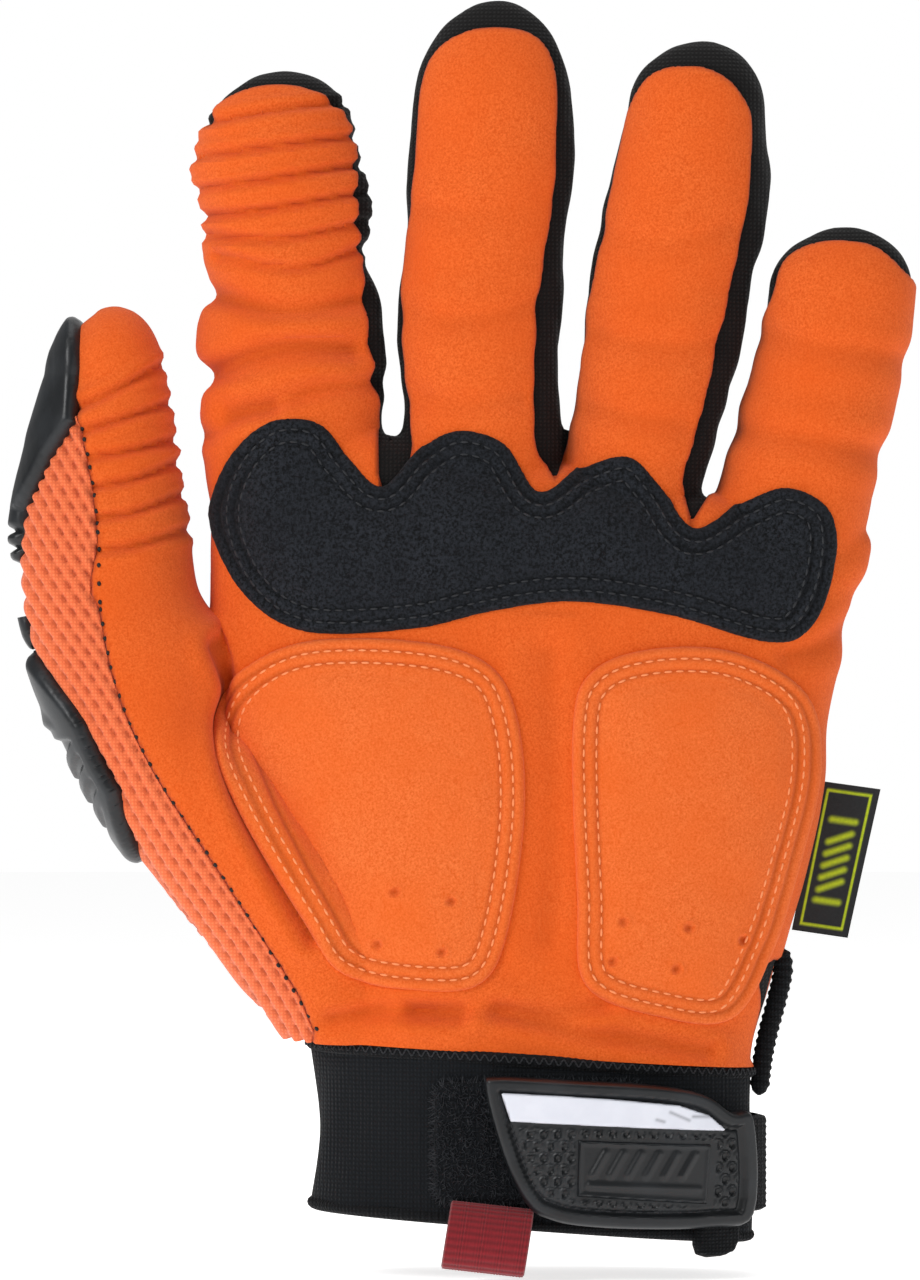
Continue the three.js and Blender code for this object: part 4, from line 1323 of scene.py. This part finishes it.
# %% Webbing loop
LOOP_X, LOOP_THICK = (-16, 0.2), 1.3
LOOP_PATH = [(-23.4, 4.6), (-25.6, 4.4), (-28.2, 3), (-30.4, 0.4), (-31.2, -2.8), (-30.2, -5.6),
             (-27.8, -6.8), (-25.4, -6), (-24.1, -3.6), (-23.8, 0), (-23.2, 3)]  # (y, z)
LOOP_SHEAR = 0.11  # the loop hangs lower at its right end
LOOP_SLANT = 0.16  # and leans to the left
YARN_PITCH = 1.25

webbing, webbing_tree, webbing_shader = new_material("red_webbing", Roughness=0.7, Sheen_Weight=0.2,
                                                     Specular_IOR_Level=0.3)
# Nylon webbing: fat ribs of yarn crossing, with deep red painted shade in their hollows.
hollow_shade = groove_of(webbing_tree)
red = mixed_colour(webbing_tree, grain(webbing_tree, 0.7), linear("#7F0C18"), linear("#A31C28"))
webbing_tree.links.new(mixed_colour(webbing_tree, hollow_shade, red, linear("#4A070E")),
                       webbing_shader.inputs["Base Color"])
bumped(webbing_tree, webbing_shader, grain(webbing_tree, 0.4), 0.3, 0.2)
MATERIALS["red_webbing"] = webbing

path = closed_curve(LOOP_PATH, 14)
gaps = np.roll(path, -1, axis=0) - path
outward = np.stack([gaps[:, 1], -gaps[:, 0]], 1)
outward /= np.linalg.norm(outward, axis=1)[:, None]
if ((path - path.mean(0)) * outward).sum() < 0:
    outward = -outward
along = np.concatenate([[0], np.cumsum(np.linalg.norm(gaps, axis=1))[:-1]])
columns = 57
across_x = np.linspace(*LOOP_X, columns)
grid_along, grid_x = np.meshgrid(along, across_x, indexing="ij")
yarn = (np.cos((grid_x + 0.5 * grid_along) * 2 * math.pi / YARN_PITCH)
        * np.cos((grid_x - 0.5 * grid_along) * 2 * math.pi / YARN_PITCH))
edge = np.minimum(grid_x - LOOP_X[0], LOOP_X[1] - grid_x)
half = LOOP_THICK / 2 * (0.3 + 0.7 * rolled(edge, 0.6))
rings = []
for side_sign in (1, -1):
    out = half * side_sign + 0.14 * yarn * side_sign
    ys = path[:, 0, None] + outward[:, 0, None] * out
    zs = path[:, 1, None] + outward[:, 1, None] * out - LOOP_SHEAR * (grid_x - LOOP_X[0])
    rings.append(np.stack([grid_x + LOOP_SLANT * zs, ys, zs], 2))
tube = np.concatenate([rings[0], rings[1][:, ::-1]], 1)  # each row goes once round the webbing's section
faces = tube_faces(*tube.shape[:2], closed=True)
# painted shade where the webbing's yarn pattern dips
yarn_hollow_shade = np.concatenate([0.5 - 0.5 * yarn, (0.5 - 0.5 * yarn)[:, ::-1]], 1).ravel()


def faces_outward(points, faces):
    a, b, c = (points[faces[:, k]] for k in range(3))
    return (np.einsum("ij,ij->i", a, np.cross(b, c))).sum() > 0


points = tube.reshape(-1, 3)
if not faces_outward(points, faces):
    faces = faces[:, ::-1]
pull_loop = add_mesh("pull_loop", points, faces, "red_webbing", 0.8 * yarn_hollow_shade)
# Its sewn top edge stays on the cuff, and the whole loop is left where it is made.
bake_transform(pull_loop)
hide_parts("pull_loop")

# %% Woven label
LABEL_CORNERS = [(51.2, 56.6), (62.1, 55), (68.5, 84), (57, 85.6)]  # anticlockwise from the bottom left
LABEL_MARKS = [  # plain slanted bars between two rules, as shares of width and height
    [(0.32, low), (0.68, low + 0.07)] for low in (0.29, 0.37, 0.45, 0.53, 0.61)
] + [[(0.3, 0.22), (0.7, 0.22)], [(0.3, 0.76), (0.7, 0.76)]]
label_weave, label_tree, label_shader = new_material("woven_label", Roughness=0.65, Sheen_Weight=0.15,
                                                     Specular_IOR_Level=0.3)
# Damask label: black satin ground with lime yarn woven in, fine threads across it.
lime = groove_of(label_tree)
ground = mixed_colour(label_tree, grain(label_tree, 0.5), linear("#0F1011"), linear("#232628"))
yarn_lime = mixed_colour(label_tree, grain(label_tree, 0.6), linear("#93A80E"), linear("#C8DC1C"))
label_tree.links.new(mixed_colour(label_tree, lime, ground, yarn_lime), label_shader.inputs["Base Color"])
bumped(label_tree, label_shader, grain(label_tree, 0.35), 0.3, 0.15)
MATERIALS["label"] = label_weave

columns, rows = 49, 121
u, v = np.meshgrid(np.linspace(0, 1, columns), np.linspace(0, 1, rows))
a, b, c, d = np.array(LABEL_CORNERS, float)
plan = ((1 - u)[..., None] * (1 - v)[..., None] * a + u[..., None] * (1 - v)[..., None] * b
        + u[..., None] * v[..., None] * c + (1 - u)[..., None] * v[..., None] * d)
curl = 0.5 * np.sin(v * 3.1 + 0.4) * u + 0.3 * u**2
width, height = 11.2, 29.4
from_edge = np.minimum(np.minimum(u, 1 - u) * width, np.minimum(v, 1 - v) * height)
mark_points = np.stack([u.ravel() * width, v.ravel() * height], 1)
marks = ridges(mark_points, [[(p * width, q * height) for p, q in line] for line in LABEL_MARKS], 0.55)
border = smoothstep(0.35 - np.abs(from_edge.ravel() - 1.5), 0, 0.2)
lime_share = np.maximum(marks, border)
points = np.stack([plan[..., 0].ravel(), curl.ravel(), plan[..., 1].ravel()], 1)
label_skin = Skin(points, np.tile([0.0, -1, 0], (len(points), 1)), grid_faces(rows, columns))
label = sew("side_label", label_skin, 0.28 + 0.05 * lime_share, -0.28, "label", lime_share)
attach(label, "label")
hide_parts("side_label")

# %% Piping at the vent
PIPING_PATH = [(48.6, -1.5, 53.4), (49.4, -1.6, 49), (48.2, -1.6, 43), (46.6, -1.5, 37), (45.4, -1.4, 31),
               (44.7, -1.4, 24.4)]


def tube_along(path, radius, around=14, ripple=0.0, pitch=1.6):
    """A closed tube along a smooth line, gathered every pitch millimetres."""
    line = open_curve(path, 16)
    step = np.gradient(line, axis=0)
    step /= np.linalg.norm(step, axis=1)[:, None]
    sideways = np.cross(step, [0.0, 1, 0])
    sideways /= np.linalg.norm(sideways, axis=1)[:, None]
    front = np.cross(sideways, step)
    length = np.concatenate([[0], np.cumsum(np.linalg.norm(np.diff(line, axis=0), axis=1))])
    turn = np.linspace(0, 2 * math.pi, around, endpoint=False)
    cap = np.sqrt(np.clip(np.minimum(length, length[-1] - length) / radius, 0.02, 1))
    size = radius * cap * (1 + ripple * np.cos(length * 2 * math.pi / pitch))
    points = (line[:, None] + size[:, None, None] * (sideways[:, None] * np.cos(turn)[:, None]
                                                     + front[:, None] * np.sin(turn)[:, None])).reshape(-1, 3)
    rows = len(line)
    spoke = np.arange(1, around - 1)
    fan = np.stack([np.zeros(around - 2, int), spoke, spoke + 1], 1)  # closes an end
    faces = np.vstack([tube_faces(rows, around, closed=False), fan, (fan + (rows - 1) * around)[:, ::-1]])
    centred = points - points.mean(0)
    return points, faces if faces_outward(centred, faces) else faces[:, ::-1]


points, faces = tube_along(PIPING_PATH, 1.9, 16, 0.09)
piping = add_mesh("vent_piping", points, faces, "binding", sharp=70)
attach(piping, "hand")
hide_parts("vent_gusset")

# The end of the side seam's binding hangs a little below the rim.
skin, edge = on_cuff([(32.2, -5.6), (38.8, -5.3), (39.2, 1.2), (32.6, 1)], 0.4, 3)
tail = sew("rim_seam_tail", skin, 1.9 * rolled(edge, 0.8) + 0.12 * waves(skin.points, 2, 6), -0.6, "binding",
           0.5 * np.exp(-((edge - 1.5) / 0.3) ** 2))
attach(tail, "hand")
print("loop, label, piping and seam tail made")

# %% [markdown]
# ## Stitches, pile and hooks with Geometry Nodes
# Anything repeated comes from a node tree: a line of stitches from an edge path, and a scatter of fibres or
# hooks from a surface. The result is turned into a plain mesh before it's given to a body.

# %% The two trees
def socket(tree, name, kind, side="INPUT"):
    return tree.interface.new_socket(name=name, in_out=side, socket_type=kind)


def stitch_tree():
    """An edge path becomes evenly spaced, rounded stitches lying along it."""
    tree = bpy.data.node_groups.new("stitch_row", "GeometryNodeTree")
    socket(tree, "Geometry", "NodeSocketGeometry")
    for name in ("Spacing", "Length", "Thickness"):
        socket(tree, name, "NodeSocketFloat")
    socket(tree, "Thread", "NodeSocketMaterial")
    socket(tree, "Geometry", "NodeSocketGeometry", "OUTPUT")
    given = tree.nodes.new("NodeGroupInput").outputs
    curve = add(tree, "GeometryNodeMeshToCurve", Mesh=given["Geometry"]).outputs["Curve"]
    spots = add(tree, "GeometryNodeCurveToPoints", {"mode": "LENGTH"}, Curve=curve, Length=given["Spacing"])
    ball = add(tree, "GeometryNodeMeshIcoSphere", Radius=0.5, Subdivisions=2).outputs["Mesh"]
    size = add(tree, "ShaderNodeCombineXYZ", X=given["Length"], Y=given["Thickness"], Z=given["Thickness"])
    turn = add(tree, "FunctionNodeAlignRotationToVector", {"axis": "X"}, Vector=spots.outputs["Tangent"])
    placed = add(tree, "GeometryNodeInstanceOnPoints", Points=spots.outputs["Points"], Instance=ball,
                 Rotation=turn.outputs["Rotation"], Scale=size.outputs["Vector"]).outputs["Instances"]
    whole = add(tree, "GeometryNodeRealizeInstances", Geometry=placed).outputs["Geometry"]
    shaded = add(tree, "GeometryNodeSetShadeSmooth", _0=whole).outputs[0]
    ended = add(tree, "GeometryNodeSetMaterial", Geometry=shaded, Material=given["Thread"])
    tree.links.new(ended.outputs["Geometry"], tree.nodes.new("NodeGroupOutput").inputs["Geometry"])
    return tree


def pile_tree():
    """A surface becomes a scatter of short leaning fibres."""
    tree = bpy.data.node_groups.new("pile", "GeometryNodeTree")
    socket(tree, "Geometry", "NodeSocketGeometry")
    for name in ("Density", "Height", "Thickness", "Lean"):
        socket(tree, name, "NodeSocketFloat")
    socket(tree, "Seed", "NodeSocketInt")
    socket(tree, "Yarn", "NodeSocketMaterial")
    socket(tree, "Geometry", "NodeSocketGeometry", "OUTPUT")
    given = tree.nodes.new("NodeGroupInput").outputs
    spots = add(tree, "GeometryNodeDistributePointsOnFaces", Mesh=given["Geometry"],
                Density=given["Density"], Seed=given["Seed"])
    fibre = add(tree, "GeometryNodeMeshCone", {"fill_type": "NGON"}, Vertices=3, Radius_Bottom=0.5,
                Radius_Top=0.15, Depth=1.0).outputs["Mesh"]
    low = add(tree, "ShaderNodeCombineXYZ", X=-1.0, Y=-1.0, Z=-1.0).outputs["Vector"]
    lean_low = add(tree, "ShaderNodeVectorMath", {"operation": "SCALE"}, _0=low,
                   Scale=given["Lean"]).outputs[0]
    lean_high = add(tree, "ShaderNodeVectorMath", {"operation": "SCALE"}, _0=lean_low, Scale=-1.0).outputs[0]
    tilt = add(tree, "FunctionNodeRandomValue", {"data_type": "FLOAT_VECTOR"}, _0=lean_low, _1=lean_high,
               Seed=given["Seed"]).outputs[0]
    turned = add(tree, "FunctionNodeRotateRotation", {"rotation_space": "LOCAL"},
                 Rotation=spots.outputs["Rotation"], Rotate_By=tilt)
    size = add(tree, "ShaderNodeCombineXYZ", X=given["Thickness"], Y=given["Thickness"], Z=given["Height"])
    placed = add(tree, "GeometryNodeInstanceOnPoints", Points=spots.outputs["Points"], Instance=fibre,
                 Rotation=turned.outputs["Rotation"], Scale=size.outputs["Vector"]).outputs["Instances"]
    whole = add(tree, "GeometryNodeRealizeInstances", Geometry=placed).outputs["Geometry"]
    ended = add(tree, "GeometryNodeSetMaterial", Geometry=whole, Material=given["Yarn"]).outputs["Geometry"]
    tree.links.new(ended, tree.nodes.new("NodeGroupOutput").inputs["Geometry"])
    return tree


STITCHES, PILE = stitch_tree(), pile_tree()


def grown_by(name, tree, mesh, **inputs):
    """The plain mesh that a node tree makes from a mesh."""
    made = in_scene(name, mesh)
    modifier = made.modifiers.new(tree.name, "NODES")
    modifier.node_group = tree
    for item in tree.interface.items_tree:
        if item.in_out == "INPUT" and item.name in inputs:
            modifier[item.identifier] = inputs[item.name]
    ready = made.evaluated_get(bpy.context.evaluated_depsgraph_get())
    result = bpy.data.meshes.new_from_object(ready)
    made.modifiers.clear()
    made.data = result
    bpy.data.meshes.remove(mesh)
    return made


# %% Sewing lines
def surface_tree(*objects):
    points, faces = [], []
    for one in objects:
        base = len(points)
        points += [v.co / MM for v in one.data.vertices]
        faces += [[i + base for i in p.vertices] for p in one.data.polygons]
    return BVHTree.FromPolygons(points, faces)


def dropped(line, surface, sink=0.0):
    """Plan points pushed onto a surface from the palm side; points that miss are left out."""
    landed = []
    for x, z in line:
        spot, normal, _, _ = surface.ray_cast(Vector((x, -120, z)), Vector((0, 1, 0)))
        if spot is not None:
            landed.append(np.array(spot) - sink * np.array(normal))
    return np.array(landed)


def sewing(name, lines, closed, spacing, length, thickness, thread_name):
    points = np.vstack(lines)
    edges, base = [], 0
    for line in lines:
        edges += [(base + i, base + i + 1) for i in range(len(line) - 1)]
        if closed:
            edges.append((base + len(line) - 1, base))
        base += len(line)
    mesh = bpy.data.meshes.new(name + "_path")
    mesh.from_pydata((points * MM).tolist(), edges, [])
    made = grown_by(name, STITCHES, mesh, Spacing=spacing * MM, Length=length * MM, Thickness=thickness * MM,
                    Thread=MATERIALS[thread_name])
    return made


def offset_loop(loop, distance):
    """A closed loop moved inwards, without the points that would crowd each other."""
    ahead = np.roll(loop, -1, axis=0) - np.roll(loop, 1, axis=0)
    normal = np.stack([-ahead[:, 1], ahead[:, 0]], 1)
    normal /= np.linalg.norm(normal, axis=1)[:, None]
    trial = loop + normal * 0.5
    if inside(trial, loop).mean() < 0:
        normal = -normal
    moved = loop + normal * distance
    return moved[inside(moved, loop) > distance * 0.93]


for name, pad in PADS.items():
    surface = surface_tree(pad["object"])
    lines = [dropped(offset_loop(pad["loop"], row), surface, 0.05) for row in STITCH_ROWS]
    stitches = sewing(f"{name}_stitches", lines, True, 2.3, 1.65, 0.5, pad["thread"])
    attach(stitches, "hand")

# Black dots where the thumb knit is sewn to the suede: one row per body it crosses.
seam = open_curve([p for p in KNIT_SEAM if p[1] > 36], 10)
for digit, stretch, words in (("hand", None, "hand"), ("thumb", "root", "thumb_root"),
                              ("thumb", "end", "thumb_end")):
    panels_here = [sewn[n] for n in (f"{words}_palm_suede", f"{words}_side_knit") if n in sewn]
    landed = dropped(seam + [0.3, 0], surface_tree(*panels_here))
    if len(landed) > 2:
        dots = sewing(f"{words}_seam_dots", [landed], False, 2.9, 1.0, 0.8, "seam_thread")
        follow(dots, digit, stretch)

surface = surface_tree(tab)
border = offset_loop(tab_loop, 3.3)
border = border[border[:, 0] < 37]
start = np.argmax(np.linalg.norm(np.roll(border, -1, axis=0) - border, axis=1)) + 1
border = np.roll(border, -start, axis=0)
tab_stitches = sewing("closure_tab_stitches", [dropped(border, surface, 0.05)], False, 2.0, 1.4, 0.45,
                      "black_thread")
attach(tab_stitches, "closure")

# Overlocking round the cuff's top binding.
OVERLOCK_PITCH = 1.9  # millimetres from one stitch to the next
turn = np.linspace(0, 2 * math.pi, 2400)
px, py, nx, ny = cuff_surface(turn, 0.95)
arc = np.concatenate([[0], np.cumsum(np.hypot(np.diff(px), np.diff(py)))])
even = np.linspace(0, arc[-1], 1300)
px, py = np.interp(even, arc, px), np.interp(even, arc, py)
swing = 0.55 * np.sin(even * 2 * math.pi * round(arc[-1] / OVERLOCK_PITCH) / arc[-1])
overlock = np.stack([px, py, line_height(CUFF_TOP, px) - 1.2 + swing], 1)[:-1]
overlock_stitches = sewing("cuff_overlock", [overlock], True, 0.62, 0.75, 0.34, "black_thread")
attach(overlock_stitches, "hand")

fuzz = grown_by("loop_patch_fuzz", PILE, loop_patch.data.copy(), Density=3.2e6, Height=1.5 * MM,
                Thickness=0.2 * MM, Lean=0.8, Seed=4, Yarn=MATERIALS["pile_yarn"])
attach(fuzz, "hand")
hooks = grown_by("hook_patch_hooks", PILE, hook_patch.data.copy(), Density=1.2e6, Height=0.7 * MM,
                 Thickness=0.2 * MM, Lean=0.15, Seed=7, Yarn=MATERIALS["black_thread"])
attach(hooks, "closure")
print("fuzz:", len(fuzz.data.polygons), "faces; hooks:", len(hooks.data.polygons))

# %% Which CAD pieces the fabric stands in for
STANDS_FOR = {
    "hand_palm_suede": ["palm_panel"],
    "hand_side_knit": ["thumb_side_knit"],
    "hand_back_knit": ["back_panel"],
}
for digit in DIGITS:
    for stretch, segment in (("root", "base"), ("end", "tip")):
        STANDS_FOR[f"{digit}_{stretch}_palm_suede"] = [f"{digit}_{segment}_palm"]
        STANDS_FOR[f"{digit}_{stretch}_back_knit"] = [f"{digit}_{segment}_back"]
for name, nodes in STANDS_FOR.items():
    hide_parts(*nodes)

# %% [markdown]
# ## Studio
# A white floor, a large soft key light from the upper left, a weaker fill, and a level camera far in front of
# the palm.

# %% Camera, light and floor
BACKGROUND_WHITE = 1.0  # what the camera sees behind the glove
ROOM_LIGHT = 0.27  # how much the white room itself lights it
LENS = 250  # millimetres: a product shot from far off, so near parts look hardly larger
FRAME_HEIGHT = 0.2496  # metres seen from top to bottom in the plane of the hand
LIT_POINT = (-0.0135, 0, 0.1148)
CAMERA_X, CAMERA_Z = -0.0135, 0.1131
SENSOR = 36  # millimetres
FLOOR_REACH = 3.0
FLOOR_DROP = 1.2  # millimetres from the lowest point to the floor


def add_light(name, place, size, power):
    data = bpy.data.lights.new(name, "AREA")
    data.energy, data.size = power, size
    lamp = in_scene(name, data)
    lamp.location = place
    lamp.rotation_euler = (Vector(LIT_POINT) - Vector(place)).to_track_quat("-Z", "Y").to_euler()


add_light("key_light", (-0.8, -0.75, 0.8), 0.5, 8)
add_light("fill_light", (0.85, -0.75, 0.25), 0.9, 1.6)
add_light("top_light", (0.0, 0.1, 1.1), 0.8, 3)
add_light("back_light", (0.1, 0.9, 0.5), 0.9, 2)

world = bpy.data.worlds.new("studio")
bpy.context.scene.world = world
world.use_nodes = True
sky = world.node_tree
lighting = sky.nodes["Background"]
lighting.inputs["Color"].default_value, lighting.inputs["Strength"].default_value = (1, 1, 1, 1), ROOM_LIGHT
seen = add(sky, "ShaderNodeBackground", Color=(1, 1, 1, 1), Strength=BACKGROUND_WHITE).outputs["Background"]
direct = add(sky, "ShaderNodeLightPath").outputs["Is Camera Ray"]
backdrop = add(sky, "ShaderNodeMixShader", _0=direct, _1=lighting.outputs["Background"], _2=seen).outputs[0]
sky.links.new(backdrop, sky.nodes["World Output"].inputs["Surface"])

floor_mesh = bpy.data.meshes.new("studio_floor")
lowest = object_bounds()[0][2] - FLOOR_DROP * MM
floor_mesh.from_pydata([(x * FLOOR_REACH, y * FLOOR_REACH, lowest)
                        for x, y in ((-1, -1), (1, -1), (1, 1), (-1, 1))], [], [(0, 1, 2, 3)])
floor = in_scene("studio_floor", floor_mesh)
paper, _, paper_shader = new_material("studio_paper", Roughness=0.9, Specular_IOR_Level=0.1)
paper_shader.inputs["Base Color"].default_value = (0.9, 0.9, 0.9, 1)
paper_shader.inputs["Emission Color"].default_value = (1, 1, 1, 1)
paper_shader.inputs["Emission Strength"].default_value = 0.72
floor_mesh.materials.append(paper)
floor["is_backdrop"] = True

camera_data = bpy.data.cameras.new("palm_camera")
camera_data.lens, camera_data.sensor_fit = LENS, "VERTICAL"
camera_data.sensor_width = camera_data.sensor_height = SENSOR
camera = in_scene("palm_camera", camera_data)
camera.location = (CAMERA_X, -FRAME_HEIGHT * LENS / SENSOR, CAMERA_Z)
camera.rotation_euler = (math.pi / 2, 0, 0)
bpy.context.scene.camera = camera
bpy.context.scene.view_settings.view_transform = "Standard"

# %% Sizes for comparison, and the end
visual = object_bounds()
({"cad": [list(corner) for corner in CAD_BOUNDS],
           "visual": [list(corner) for corner in visual]})
